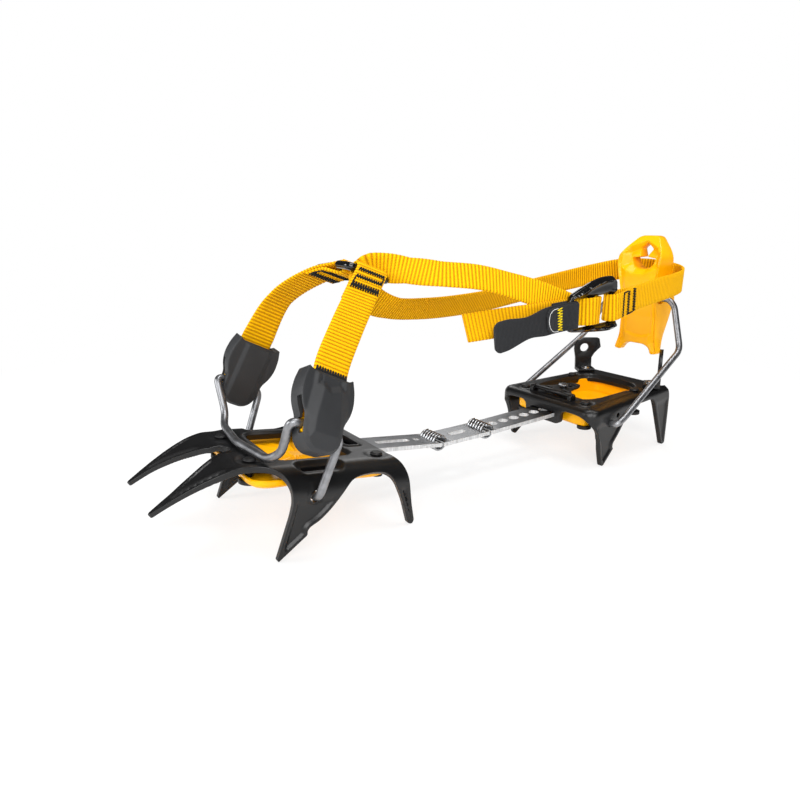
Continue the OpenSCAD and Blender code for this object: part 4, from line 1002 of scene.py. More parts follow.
class CRAMPON_OT_bars(bpy.types.Operator):
    """Makes the three segments of the linking bar with their coil slots, windows and setting holes"""
    bl_idname = "crampon.bars"
    bl_label = "Linking bar"

    def execute(self, context):
        half, corner, tip = BAR_HALF, BAR_CORNER_R, BAR_TIP_R
        slot = lambda *ends: round_rect(min(ends), max(ends), -BAR_SLOT_HALF, BAR_SLOT_HALF, corner, 2)
        strip = lambda end: round_rect(BAR_END, end, -half, half, corner, 2)
        near_slot, middle = slot(BAR_ROD, BAR_SLOT_END), LINK_LEN / 2
        rear_edge = [(BAR_END, -half), (BAR_REAR_LEN, -half), (BAR_REAR_LEN, half), (BAR_END, half)]
        segments = (
            ("bar_front", "front_section",
             lambda p, h: front_place(HINGE_U - p[:, 0], p[:, 1], -PLATE_T - BAR_T / 2 + h), strip(67),
             [near_slot, round_rect(18, 40, -2.2, 2.2, 2.1), round_rect(11, 14.2, -1.6, 1.6, 0.2, 2),
              circle(53.8, 0, 2.475)]),
            ("bar_middle", "bar_middle",
             lambda p, h: tilted(HINGE_FRONT, LINK_PITCH, p[:, 0], p[:, 1], h), strip(LINK_LEN - BAR_END),
             [near_slot, slot(LINK_LEN - BAR_ROD, LINK_LEN - BAR_SLOT_END),
              round_rect(middle - 6, middle + 6, -2.4, 2.4, 2.3)]),
            ("bar_rear", "bar_rear", lambda p, h: rear_place(p[:, 0], p[:, 1], h),
             round_corners(rear_edge, [corner, tip, tip, corner], 5),
             [near_slot] + [circle(SET_FIRST + SET_PITCH * k, 0, SET_R) for k in range(SET_COUNT)]))
        for name, body, place, outline, holes in segments:
            points, faces = plate(outline, holes, place, thick=BAR_T, edge=0.3, step=2.0)
            obj = make_piece(name + "_strip", points, faces, finish("bar"), smooth=30, weighted=True)
            # The flat faces keep the darker finish, a painted dim reflection; the edges and hole walls take
            # the lighter one, a painted highlight
            obj.data.materials.append(finish("bar_edge_highlight"))
            for face in obj.data.polygons:
                face.material_index = int(abs(face.normal.z) < EDGE_LEAN)
            seat(obj, body, "bar_steel", name)
        return {"FINISHED"}


# Toe straps and keepers

LOOP_MID = np.array([(LOOP_FRONT[0] + LOOP_REAR[0]) / 2, -LOOP_Y, (LOOP_FRONT[1] + LOOP_REAR[1]) / 2])
LOOP_SLOPE = math.atan2(LOOP_FRONT[1] - LOOP_REAR[1], LOOP_REAR[0] - LOOP_FRONT[0])
KEEPER_TOP = 24.0
KEEPER_ALONG = np.array([math.cos(LOOP_SLOPE), 0, -math.sin(LOOP_SLOPE)])
# Lean of each keeper, how far its strap bows out on the way to the ring, and how far the strap turns
NEAR_SIDE, FAR_SIDE = (math.radians(24), (0, 0, 0), 0.0), (math.radians(6), (-2, -8, 8), 0.42)
SIDES = ((-1, "near", NEAR_SIDE), (1, "far", FAR_SIDE))
# The ring's middle, its slope and the place of its two bars
RING_AT, RING_SLOPE, RING_BAR = np.array([97.5, 0, 122.5]), math.radians(20), 6.5
WEB_T = 1.5
HALF_TURN = np.radians([30, 60, 90, 120, 150])
# Tacks below the fold, on the run and on the tail: start and end before a station, and half width
RUN_TACKS = ((9.4, 7.4, 7.6), (14.4, 12.4, -7.6), (21.2, 17.2, 8.0))
TAIL_TACKS = ((16.0, 14.0, 7.6), (10.6, 8.6, -7.6), (5.2, 1.4, 8.0))
TACK_STITCHES, MOUTH_STITCHES, STITCH_LIFT = 23, 25, WEB_T / 2 + 0.16


def keeper_axes(lean):
    """Directions up a keeper and out of its outer face, on the near side."""
    up = np.array([math.sin(LOOP_SLOPE), math.tan(lean), math.cos(LOOP_SLOPE)]) * math.cos(lean)
    return up, np.cross(KEEPER_ALONG, up)


def toe_strap_rows(lean, bow, turn):
    """A toe strap's run: doubled round the wire, up outside to the ring, over its bar, sewn down."""
    wide, r = KEEPER_ALONG, WIRE_D / 2 + GAP + WEB_T / 2
    up, out = keeper_axes(lean)
    bow = np.asarray(bow, float)
    ring_wide = np.array([math.cos(RING_SLOPE), 0, -math.sin(RING_SLOPE)])
    bar = RING_AT + (0, -RING_BAR, 0)
    low = LOOP_MID + out * r + up * (KEEPER_TOP + 8)
    aim = low + 2.2 * bow
    rise = unit(bar - aim - ring_wide * ((bar - aim) @ ring_wide))
    side = -unit(np.cross(rise, ring_wide))
    top = bar + side * r
    down = unit(aim - top)
    mix = lambda a, b, f: a + (b - a) * f
    twist = np.array([0, -turn, 0])
    rows = [(LOOP_MID - out * r + up * 16, wide), (LOOP_MID - out * r, wide)]
    rows += [(LOOP_MID - out * r * math.cos(a) - up * r * math.sin(a), wide) for a in HALF_TURN]
    rows += [(LOOP_MID + out * r, wide), (LOOP_MID + out * r + up * 16, wide), (low - up * 4, wide),
             (mix(low, top, 0.3) + 0.8 * bow, mix(wide, ring_wide, 0.4) + twist),
             (mix(low, top, 0.7) + 0.7 * bow, ring_wide + 0.6 * twist),
             (bar + side * (r + 0.2) + down * 6, ring_wide), (top, ring_wide)]
    rows += [(bar + side * r * math.cos(a) + rise * r * math.sin(a), ring_wide) for a in HALF_TURN]
    # The tail comes back to lie on the run, where it is sewn
    rows += [(bar - side * r, ring_wide), (bar - side * (r - 1.6) + down * 5, ring_wide),
             (bar + side * (r - 1.6) + down * 11, ring_wide), (bar + side * (r - 1.5) + down * 22, ring_wide)]
    return rows


def flipped(rows, side):
    """The rows of the strap on the other side of the part."""
    return rows if side < 0 else [(p * (1, -1, 1), w * (1, -1, 1)) for p, w in rows]


class CRAMPON_OT_toe_straps(bpy.types.Operator):
    """Makes the two toe straps of ribbed webbing with their stitches"""
    bl_idname = "crampon.toe_straps"
    bl_label = "Toe straps"

    def execute(self, context):
        pitch = sizes().rib_pitch / MM
        for side, name, lie in SIDES:
            strap = Strap(flipped(toe_strap_rows(*lie), side), sizes().toe_width / MM, WEB_T, square=False)
            ribs = int(strap.length / pitch)
            obj = webbing(name + "_toe_webbing", strap, strap.length / ribs, 0, ribs, finish("webbing"))
            flip, up = np.array([1, -side, 1]), keeper_axes(lie[0])[0]
            mouth, free = ((LOOP_MID + up * h) * flip for h in (KEEPER_TOP + 1, KEEPER_TOP + 34))
            follow = lambda piece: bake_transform(piece)
            follow(obj)
            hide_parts(name + "_toe_strap")
            # Three tacks through both layers below the fold, seen on the run outside and on the tail inside
            fold = strap.length - 22 - 1.5 * math.pi
            for label, station, tacks in (("run", fold, RUN_TACKS), ("tail", strap.length, TAIL_TACKS)):
                spots = [(station - a, station - b, -half, half, TACK_STITCHES) for a, b, half in tacks]
                thread = bar_tack(f"{name}_toe_tacks_{label}", strap, spots, side * STITCH_LIFT,
                                  finish("black_thread"), 0.75)
                seat(thread, "front_bail", "yellow_webbing")
            s = strap.nearest(mouth, 30)
            teeth = bar_tack(name + "_mouth_stitch", strap, [(s - 2, s + 1.4, -8.4, 8.4, MOUTH_STITCHES)],
                             side * STITCH_LIFT, finish("black_thread"), 0.7)
            follow(teeth)
        return {"FINISHED"}


# A keeper's half outline and its corner radii
KEEPER_EDGE = [(3.6, -11.4), (6.9, -9.8), (9.2, -6.8), (10.2, -2.4), (10.2, 3.2), (13.0, 8.6), (14.0, 14),
               (13.4, 20), (11.8, 25.2), (9.9, 24)]
KEEPER_RADII = [2, 3, 3, 3, 2, 2.5, 2.5, 2, 0.5, 0.8]
# How far its inner face, its outer face and its rim stand from the strap's middle
KEEPER_HALF, KEEPER_FRONT, KEEPER_RIM = 5.75, 7.6, 4.7


def keeper_relief(p, h, loops):
    """Moulded facets of a keeper: a middle panel, wide side facets, a sunk chevron below the mouth."""
    x, z = p.T
    edge = edge_distance(p, loops)
    turn = 6.0 - np.clip((z - 3) * 0.12, 0, 1.6)
    slopes = np.stack([np.zeros(len(p)), (-turn - x) * 0.62, (x - turn) * 0.46, (-3.5 - z) * 0.3])
    planes = KEEPER_FRONT - slopes
    outer = np.clip(np.min(planes, axis=0), KEEPER_RIM, KEEPER_FRONT)
    notch = np.minimum((z - 14.6 - 0.42 * np.abs(x + 0.8)) * 0.62, (7.4 - np.abs(x)) * 0.9)
    outer -= np.clip(notch, 0, 2.2)
    inner = np.clip(KEEPER_HALF - np.maximum(np.abs(x) - 6.0, 0) * 0.45, KEEPER_RIM, KEEPER_HALF)
    grow = smoothstep(edge, 0.4, 1.3)
    return np.where(h > 0, np.maximum(outer - KEEPER_RIM, 0) * grow, -(inner - KEEPER_RIM) * grow)


def cutter(kind, size, origin, along, up):
    """A block or a rod to cut with: its size in millimetres and its place."""
    if kind == "block":
        bpy.ops.mesh.primitive_cube_add(size=1)
    else:
        bpy.ops.mesh.primitive_cylinder_add(vertices=32, radius=0.5, depth=1)
    obj = bpy.context.object
    origin = (np.asarray(origin, float) - (ORIGIN_X, 0, 0)) * MM
    turn = Matrix(np.stack([along, np.cross(up, along), up], -1).tolist()).to_4x4()
    scale = Matrix.Diagonal((*[s * MM for s in size], 1))
    obj.matrix_world = Matrix.Translation(origin.tolist()) @ turn @ scale
    return obj


def cut(obj, *cutters):
    """Cuts shapes out of a piece and removes them."""
    for tool in cutters:
        apply_modifier(obj, "BOOLEAN", operation="DIFFERENCE", solver="EXACT", object=tool)
        bpy.data.objects.remove(tool, do_unlink=True)
    only(obj)
    bpy.ops.object.shade_smooth_by_angle(angle=math.radians(30))


class CRAMPON_OT_keepers(bpy.types.Operator):
    """Makes the two strap keepers, faceted sleeves with a slot for the doubled strap"""
    bl_idname = "crampon.keepers"
    bl_label = "Strap keepers"

    def execute(self, context):
        for side, name, lie in SIDES:
            flip = np.array([1, -side, 1])
            middle, along, up, out = (v * flip for v in (LOOP_MID, KEEPER_ALONG, *keeper_axes(lie[0])))
            outline = [(-u, v) for u, v in KEEPER_EDGE] + KEEPER_EDGE[::-1]
            outline = round_corners(outline, KEEPER_RADII + KEEPER_RADII[::-1], 4)
            points, faces = plate(outline, [], flat_place(middle, along, up, out), thick=2 * KEEPER_RIM,
                                  edge=0.7, step=0.6, relief=keeper_relief)
            obj = make_piece(name + "_keeper_sleeve", points, faces, finish("keeper"), smooth=24)
            slot_t = WIRE_D + 2 * WEB_T + 4 * GAP
            wide = sizes().toe_width / MM + 2 * GAP
            # The strap's slot, the wire's bore, and a slit at each side where the strap's edge shows
            cut(obj, cutter("block", (wide, slot_t, 60), middle + up * (30 - slot_t / 2), along, up),
                cutter("rod", (WIRE_D + 0.9, WIRE_D + 0.9, 80), middle, out, along),
                cutter("block", (80, 3.4, 15.6), middle + up * 3.2 + out * 2.4, along, up))
            seat(obj, name + "_keeper", "keeper_plastic", name + "_strap_keeper")
        return {"FINISHED"}


# Ankle strap

def near_lean(degrees):
    """Direction across the strap where its top leans inwards on the near side."""
    return np.array([0, math.sin(math.radians(degrees)), math.cos(math.radians(degrees))])


# The strap's route, as places with its lean in degrees: from the sewn end round the buckle's right bar,
# behind the heel piece and along the far side
ANKLE_OUT = [
    (258, -43.2, 104.6, 0), (246, -43.4, 103.8, 0), (236, -43.4, 102.8, 0), (231.2, -43.9, 102, 0),
    (229.2, -47, 101.8, 0), (231.2, -50.1, 102, 0), (236, -50.4, 102.6, 0), (248, -47, 104, 0),
    (262, -43.6, 105.8, 0), (282, -40.5, 108, 0), (306, -36, 110, 0), (326, -29, 111.4, 0), (341, -18, 113, 0),
    (348, -4, 114.6, 0), (347, 12, 116, 0), (338, 27, 115.6, 0), (320, 37, 112, -4), (290, 42, 107, -8),
    (255, 41, 102.6, -12), (215, 34.6, 98.8, -18), (175, 24.4, 98.2, -25), (145, 14.6, 99.6, -32),
    (121, 7, 102.2, -40)]
# Over the ring, with the direction across the strap
ANKLE_RING = [
    ((106, 2.4, 107.4), (0.6, -0.2, 0.7)), ((99.6, 0.8, 114.5), (0.9, 0, 0.1)),
    ((99.2, 0.8, 121), (0.94, 0, -0.34)), ((102.4, 0.9, 124.2), (0.85, -0.15, -0.5)),
    ((108.4, -2.0, 124.6), (0.56, -0.5, -0.66))]
# Back along the near side and through the buckle to the free end
ANKLE_BACK = [
    (117.4, -12.0, 123.6, 46), (128.6, -24, 122.4, 44), (147, -33, 120.6, 38), (165, -38, 116, 30),
    (182, -40.4, 111, 16), (198, -40.8, 105.6, 6), (208, -41.1, 102.4, 0), (215, -41.8, 101.4, 0),
    (220.4, -44, 101.2, 0), (221.6, -47, 101.4, 0), (219.6, -50, 101.4, 0), (215, -50.6, 101.2, 0),
    (210.6, -48.6, 100.8, 0), (207.6, -45.4, 100.6, 0), (204, -43.8, 100.5, 0), (198, -43.7, 100.4, 0),
    (188, -43.9, 100, 0), (172, -43.8, 99.2, 10), (156, -40.4, 97.9, 20), (137, -35, 95.8, 26)]
ANKLE_ROUTE = [(row[:3], near_lean(row[3])) for row in ANKLE_OUT] + ANKLE_RING
ANKLE_ROUTE += [(row[:3], -near_lean(row[3])) for row in ANKLE_BACK]
# Where each part of the strap ends, and the body or the two bodies that it passes
ANKLE_PARTS = [
    ((266, -42.9, 106.2), ("buckle", "heel_piece", 240, 262)),
    ((338, 27, 115.6), ("heel_piece",)),
    ((305, 39.8, 109.5), ("heel_piece", "rear_bail", 338, 305)),
    ((272, 41.8, 104.7), ("rear_bail", "rear_section", 305, 272)),
    ((215, 34.6, 98.8), ("rear_section", "bar_rear", 272, 215)),
    ((175, 24.4, 98.2), ("bar_rear", "bar_middle", 215, 175)),
    ((140, 13, 100.1), ("bar_middle", "front_section", 175, 140)),
    ((110, 3.6, 105.6), ("front_section", "front_bail", 140, 110)),
    ((109, -2.5, 124.6), ("front_bail",)),
    ((127, -22.6, 122.6), ("front_bail", "front_section", 109, 127)),
    ((140, -30, 121.4), ("front_section", "bar_middle", 127, 140)),
    ((152, -34.6, 119.7), ("bar_middle", "bar_rear", 140, 152)),
    ((179, -40, 111.9), ("bar_rear", "rear_section", 152, 179)),
    ((190, -40.7, 108.4), ("rear_section", "rear_bail", 179, 190)),
    ((201, -40.9, 104.7), ("rear_bail", "heel_piece", 190, 201)),
    ((212, -41.4, 101.8), ("heel_piece", "buckle", 201, 212)),
    (None, ("buckle",))]
# Tacks beside the buckle: station, length along the strap and way across it
ANKLE_TACKS = ((238.6, 1.3, 1), (246.2, 2.6, -1), (253.6, 3.6, 1))


def bent_between(obj, first, second, x0, x1):
    """Bakes a soft piece's place into its mesh; the two bodies and the two stations are not used."""
    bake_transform(obj)


class CRAMPON_OT_ankle_strap(bpy.types.Operator):
    """Makes the ankle strap of ribbed webbing in parts, each put on the body that it passes where it passes
    only one, and its stitches
    """
    bl_idname = "crampon.ankle_strap"
    bl_label = "Ankle strap"

    def execute(self, context):
        wide = sizes().ankle_width
        strap = Strap(ANKLE_ROUTE, wide / MM, WEB_T, even=True)
        count = round(strap.length / (sizes().rib_pitch / MM))
        pitch = strap.length / count
        first, reached = 0, 0.0
        for number, (end, follows) in enumerate(ANKLE_PARTS):
            reached = strap.length if end is None else strap.nearest(end, reached + 8)
            last = round(reached / pitch)
            obj = webbing(f"ankle_webbing_{number + 1:02d}", strap, pitch, first, last, finish("webbing"))
            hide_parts("ankle_strap")
            if len(follows) == 1:
                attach(obj, follows[0])
            else:
                bent_between(obj, *follows)
            first = last
        tacks, turned = [], strap.nearest(ANKLE_OUT[5][:3])
        for x, long, way in ANKLE_TACKS:
            s = strap.nearest((x, -48.5, 103), turned)
            tacks.append((s, s + long, -6.8 * way, 6.8 * way, 19))
        thread = bar_tack("ankle_tacks", strap, tacks, STITCH_LIFT, finish("black_thread"), 0.75)
        bent_between(thread, *ANKLE_PARTS[0][1])
        return {"FINISHED"}


# Buckle and pull tab

BUCKLE_AT, BUCKLE_TURN, BUCKLE_T = np.array([220.0, -47.0, 101.0]), math.radians(4), 3.0
# The left bar's station and its width
LEFT_BAR, BUCKLE_BAR = -20.0, 3.0
BUCKLE_RADII = [1.5, 3, 5, 5, 4, 1.8, 1.2, 1, 1, 1, 1, 2, 2.5, 5, 5, 5, 3, 1.5]
# The tab's rib pitch, full width and the width of the end sewn down on it
TAB_PITCH, TAB_WIDTH, TAB_RETURN_WIDTH = 0.9, 15.0, 13.8
BUCKLE_ALONG = np.array([math.cos(BUCKLE_TURN), 0, math.sin(BUCKLE_TURN)])
BUCKLE_UP = np.array([-math.sin(BUCKLE_TURN), 0, math.cos(BUCKLE_TURN)])


def buckle_relief(p, h, loops):
    """Rails with a ridge along the outside that falls to a hollow panel."""
    outer, inner = edge_distance(p, loops[:1]), edge_distance(p, loops[1:])
    wide = smoothstep(np.abs(p[:, 1]), 8.4, 9.4)
    ridge = np.exp(-((outer - 1.9) / 1.1) ** 2) * smoothstep(outer, 0.2, 1.4)
    return np.sign(h) * wide * (1.5 * ridge + 0.5 * smoothstep(np.minimum(outer, inner), 0.4, 1.6))


class CRAMPON_OT_buckle(bpy.types.Operator):
    """Makes the buckle's contoured frame, and the pull tab folded round its left bar"""
    bl_idname = "crampon.buckle"
    bl_label = "Buckle and pull tab"

    def execute(self, context):
        gap = (sizes().ankle_width / MM + 1.2) / 2
        corners = [(-22, -6.4), (-20.6, -9.4), (-9, -11), (3, -12.4), (11, -13), (16.2, -12.4), (17.2, -10.4),
                   (17, -gap), (14.5, -gap), (14.5, gap), (15.6, gap), (15, 15.2), (12.6, 17.6), (5, 17.8),
                   (-3, 16.4), (-13, 13.2), (-20.4, 10.4), (-22, 7)]
        holes = [round_rect(-18.5, -5.5, -gap, gap, 1), round_rect(-2.5, 11.5, -gap, gap, 1)]
        place = flat_place(BUCKLE_AT, BUCKLE_ALONG, BUCKLE_UP, (0, -1, 0))
        points, faces = plate(round_corners(corners, BUCKLE_RADII, 4), holes, place, thick=BUCKLE_T,
                              edge=0.7, step=0.9, relief=buckle_relief)
        seat(make_piece("buckle_plate", points, faces, finish("gloss"), smooth=60), "buckle", "gloss_black",
             "buckle_frame")
        x, y, z = BUCKLE_AT + LEFT_BAR * BUCKLE_ALONG
        k, up = GAP + WEB_T / 2, BUCKLE_UP
        r = BUCKLE_T / 2 + k
        rows = [((x - 12, y + r - 0.3, z - 0.8), up), ((x, y + r, z), up)]
        for end, turns in ((1, (0, 45, 90)), (-1, (90, 135, 180))):
            for a in np.radians(turns):
                at = (x + BUCKLE_BAR / 2 + k * math.sin(a), y + end * BUCKLE_T / 2 + k * math.cos(a), z)
                rows.append((at, up))
        rows += [((x, y - r, z), up), ((x - 14, y - r + 0.9, z - 1.2), up),
                 ((x - 26, y - r + 1.4, z - 3.2), up), ((x - 40, y - r + 1.6, z - 5.8), up),
                 ((x - 55, y - r + 1.2, z - 8.2), up)]
        strap = Strap(rows, sizes().ankle_width / MM, WEB_T)
        total = strap.length

        def rounded(half, s, end, r):
            """Half width that rounds off towards an end."""
            past = max(0.0, s - (end - r))
            return half - r + math.sqrt(max(r * r - past * past, 0.2))

        def half(s):
            """The tab's half width: wide at the buckle, a waist, and a wider grip."""
            left = total - s
            wide = 5.9 + 2.2 * smoothstep(-left, -24, -7) + 1.6 * smoothstep(left, 24, 37)
            return rounded(wide, s, total, 4.0)

        ribs = int(total / TAB_PITCH)
        tab = webbing("tab_webbing", strap, total / ribs, 0, ribs, finish("grey_webbing"), half)
        seat(tab, "buckle", "grey_webbing", "pull_tab")
        # The end that comes back round the bar is sewn down outside, with a line round its end and a zigzag
        over = Strap([((x + 1.6, y - r - 1.5, z), up), ((x - 9, y - r - 1.1, z - 0.6), up),
                      ((x - 14, y - r - 0.75, z - 1.2), up), ((x - 20.5, y - r - 0.5, z - 2.3), up)],
                     TAB_RETURN_WIDTH, WEB_T)
        end, lift = over.length, -WEB_T / 2 - 0.1
        ribs = int(end / TAB_PITCH)
        back = webbing("tab_return", over, end / ribs, 0, ribs, finish("grey_webbing"),
                       lambda s: rounded(TAB_RETURN_WIDTH / 2, s, end, 4.5))
        seat(back, "buckle", "grey_webbing")
        zigzag = bar_tack("tab_zigzag", over, [(end - 10, end - 6.8, -5.9, 5.9, 17)], lift,
                          finish("yellow_thread"), 0.5)
        seat(zigzag, "buckle", "grey_webbing")
        turn = np.radians(np.linspace(-90, 90, 13))
        bow = np.stack([end - 5.1 + 4.3 * np.cos(turn), 6.0 * np.sin(turn)], -1)
        bow = np.concatenate([[(end - 7.4, -6.0)], bow, [(end - 7.4, 6.0)]])
        points, faces = tube(over.at(bow[:, 0], bow[:, 1], np.full(len(bow), lift + 0.12)), 0.3, 6)
        line = make_piece("tab_line", points, faces, finish("white_thread"), smooth=60)
        seat(line, "buckle", "grey_webbing")
        return {"FINISHED"}


# Heel piece

HEEL_T = 12.4
# Half outline from the middle of the foot's edge to the top, with corner radii, and half of the opening
HEEL_EDGE = [(6, 65.6), (10.6, 63.6), (12.4, 59.2), (17.4, 60), (14.8, 70), (14.2, 100), (14.6, 109),
             (16.8, 119), (17, 126), (14.6, 131), (8, 139), (5, 140)]
HEEL_RADII = [3, 2.5, 1.5, 1.5, 4, 6, 5, 3, 3, 3, 3, 2]
HEEL_HOLE = [(0, 117.6), (2.6, 117.8), (7, 119.4), (9.4, 124.8), (2.6, 125.8), (4.8, 131.4), (0, 135.4)]
HEEL_HOLE_RADII = [0, 1, 2, 0.8, 0.8, 1.2, 1, 1.2, 0.8, 0.8, 2, 1]
# Side view: heights, and how far the front and the back stand from the middle there
HEEL_Z = [59, 70, 85, 97, 103, 107, 112, 120, 127, 134, 140]
HEEL_FRONT = [0.6, 0.2, 1.2, 4.2, 5.6, 6.6, 7.4, 8.0, 7.2, 2.4, -2.4]
HEEL_BACK = [-4.0, -8.6, -14.6, -18.6, -16.6, -12.6, -9.8, -8.0, -7.4, -7.6, -8.4]


def heel_relief(p, h, loops):
    """The heel piece's side view, a deep pocket with sloping walls and a dished lower panel."""
    y, z = p.T
    a = np.abs(y)
    edge = edge_distance(p, loops[:1])
    front, back = np.interp(z, HEEL_Z, HEEL_FRONT), np.interp(z, HEEL_Z, HEEL_BACK)
    side = np.clip((a - 9.5) * 0.34, 0, 2.4)
    lip = 114.2 + np.maximum(a - 4, 0) * 0.42
    brow = 137 - 0.42 * a - np.maximum(a - 10.5, 0) * 0.9
    pocket = np.minimum(14.4 - a, np.minimum(z - lip, brow - z))
    sunk = np.clip(pocket * 1.35, 0, 5.6)
    panel = np.minimum(11.2 - a, np.minimum(z - 70 - 0.02 * a * a, 97 - 0.15 * a - z))
    dish = 1.2 * smoothstep(panel, 0, 1.8)
    foot = np.clip((67 - z) * 0.3, 0, 1.8) * smoothstep(a, 8, 12)
    front = front + (foot - side - sunk - dish) * smoothstep(edge, 0.3, 1.6)
    return back + (front - back) * (h / HEEL_T + 0.5) - h


class CRAMPON_OT_heel_piece(bpy.types.Operator):
    """Makes the moulded heel piece with its opening, panel and feet"""
    bl_idname = "crampon.heel_piece"
    bl_label = "Heel piece"

    def execute(self, context):
        outline = HEEL_EDGE + [(-u, v) for u, v in reversed(HEEL_EDGE)]
        outline = round_corners(outline, HEEL_RADII + HEEL_RADII[::-1], 4)
        opening = round_corners(HEEL_HOLE + [(-u, v) for u, v in HEEL_HOLE[-2:0:-1]], HEEL_HOLE_RADII, 4)
        place = flat_place((HEEL_X, 0, 0), (0, 1, 0), (0, 0, 1), (-1, 0, 0))
        points, faces = plate(outline, [opening], place, thick=HEEL_T, edge=0.9, step=0.8, relief=heel_relief)
        obj = make_piece("heel_moulding", points, faces, finish("yellow"), smooth=60)
        # A hollow behind, the wire's bore, and a wider recess where the wire enters each side
        bore = WIRE_D + 2 * GAP
        along, across, up = (1, 0, 0), (0, 1, 0), (0, 0, 1)
        tools = [cutter("block", (24, 20, 28), (340, 0, 79), along, up),
                 cutter("rod", (bore, bore, 60), (HEEL_X, 0, HEEL_WIRE_Z), along, across)]
        tools += [cutter("rod", (10, 8, 6), (HEEL_X + 2, y, HEEL_WIRE_Z), along, across) for y in (15, -15)]
        cut(obj, *tools)
        seat(obj, "heel_piece", "yellow_plastic", "heel_piece")
        return {"FINISHED"}


# Adjuster's lever

# Stations of the hinge pin and of the locking pin's hole, and the lever's height above the bar
LEVER_S, LEVER_PIN_S, LEVER_Z = 62.5, 73.0, 12.5
LEVER_EDGE = [(-1, 0), (-1, 14.4), (3, 14.4), (6, 11), (9, 8), (18, 6.4), (23, 4), (24, 0)]
# The roll round the hinge pin: places across and radii, from one bore's edge to the other
ROLL_RINGS = ((-14.4, 1.06), (-14.4, 1.3), (-14.2, 1.5), (14.2, 1.5), (14.4, 1.3), (14.4, 1.06))


class CRAMPON_OT_adjuster(bpy.types.Operator):
    """Makes the adjuster's spring lever, a slotted plate rolled round its hinge pin"""
    bl_idname = "crampon.adjuster"
    bl_label = "Adjuster"

    def execute(self, context):
        s = LEVER_S
        outline = mirrored([(s + u, v) for u, v in LEVER_EDGE])
        outline = round_corners(outline, [0 if abs(y) < 1e-6 else 1.6 for x, y in outline], 3)
        holes = [circle(LEVER_PIN_S, 0, 2.3), round_rect(s + 14.4, s + 16.6, -3.4, 3.4, 0.8),
                 round_rect(s + 18.4, s + 20.4, -2.4, 2.4, 0.8)]
        holes += [round_rect(s + 3.2, s + 5, y - 2.6, y + 2.6, 0.7) for y in (6.5, -6.5)]
        place = lambda p, h: rear_place(p[:, 0], p[:, 1], LEVER_Z + h)
        points, faces = plate(outline, holes, place, thick=1.2, edge=0.35, step=1.2)
        seat(make_piece("lever_plate", points, faces, finish("coat"), smooth=45), "adjuster_lever",
             "black_steel", "adjuster_lever")
        turn = np.linspace(0, 2 * math.pi, 24, endpoint=False)
        rings = [rear_place(s + r * np.cos(turn), np.full(24, y), LEVER_Z + r * np.sin(turn))
                 for y, r in ROLL_RINGS]
        points, faces = loft(rings, close=False)
        roll = make_piece("lever_roll", points, faces, finish("coat"), smooth=45)
        seat(roll, "adjuster_lever", "black_steel")
        return {"FINISHED"}


# Solids that are shown as they are, with their edges broken

KEPT = [("strap_ring", "gloss", 0.0), ("bar_end_rivet", "pin", 0.25), ("front_plate_studs", "stud", 0.3),
        ("rear_plate_studs", "stud", 0.3), ("near_heel_post", "coat", 0.45), ("far_heel_post", "coat", 0.45),
        ("heel_post_rivets", "pin", 0.25), ("adjuster_pin", "pin", 0.2), ("adjuster_hinge_pin", "pin", 0.2)]


class CRAMPON_OT_hardware(bpy.types.Operator):
    """Finishes the studs, posts, rivets, pins and ring, and breaks their edges"""
    bl_idname = "crampon.hardware"
    bl_label = "Small parts"

    def execute(self, context):
        for name, key, broken in KEPT:
            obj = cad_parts[name]
            obj.data.materials.clear()
            obj.data.materials.append(finish(key))
            weld = obj.modifiers.new("weld", "WELD")
            weld.merge_threshold = 1e-6
            if broken:
                bevel = obj.modifiers.new("bevel", "BEVEL")
                bevel.width, bevel.segments, bevel.limit_method = broken * MM, 2, "ANGLE"
                bevel.angle_limit, bevel.harden_normals = math.radians(32), True
            only(obj)
            bpy.ops.object.shade_smooth_by_angle(angle=math.radians(35))
        return {"FINISHED"}


# Stage

# Where the camera stands, its turn, rise and roll in degrees, its lens and its shift
CAMERA_AT, CAMERA_TURN = (-0.23439, -0.28012, 0.14601), (-32.974, 15.878, 0.474)
CAMERA_LENS, CAMERA_SENSOR, CAMERA_SHIFT = 28.53, 36.0, (0.01876, 0.005625)
# Lamps: name, place, aim, size and power
LAMPS = (("key", (-0.7, -0.95, 0.75), (0, 0, 0.05), 0.9, 17.0),
         ("top", (0.1, -0.1, 1.3), (0, 0, 0.06), 0.5, 8.0),
         ("left", (-1.0, 0.35, 0.45), (0, 0, 0.06), 0.35, 6.0),
         ("back", (0.75, 1.1, 0.72), (0, 0, 0.05), 0.4, 2.0))
# Strength of the world in plain light and in reflections
SKY_LIGHT, SKY_GLOSS = 0.4, 0.08


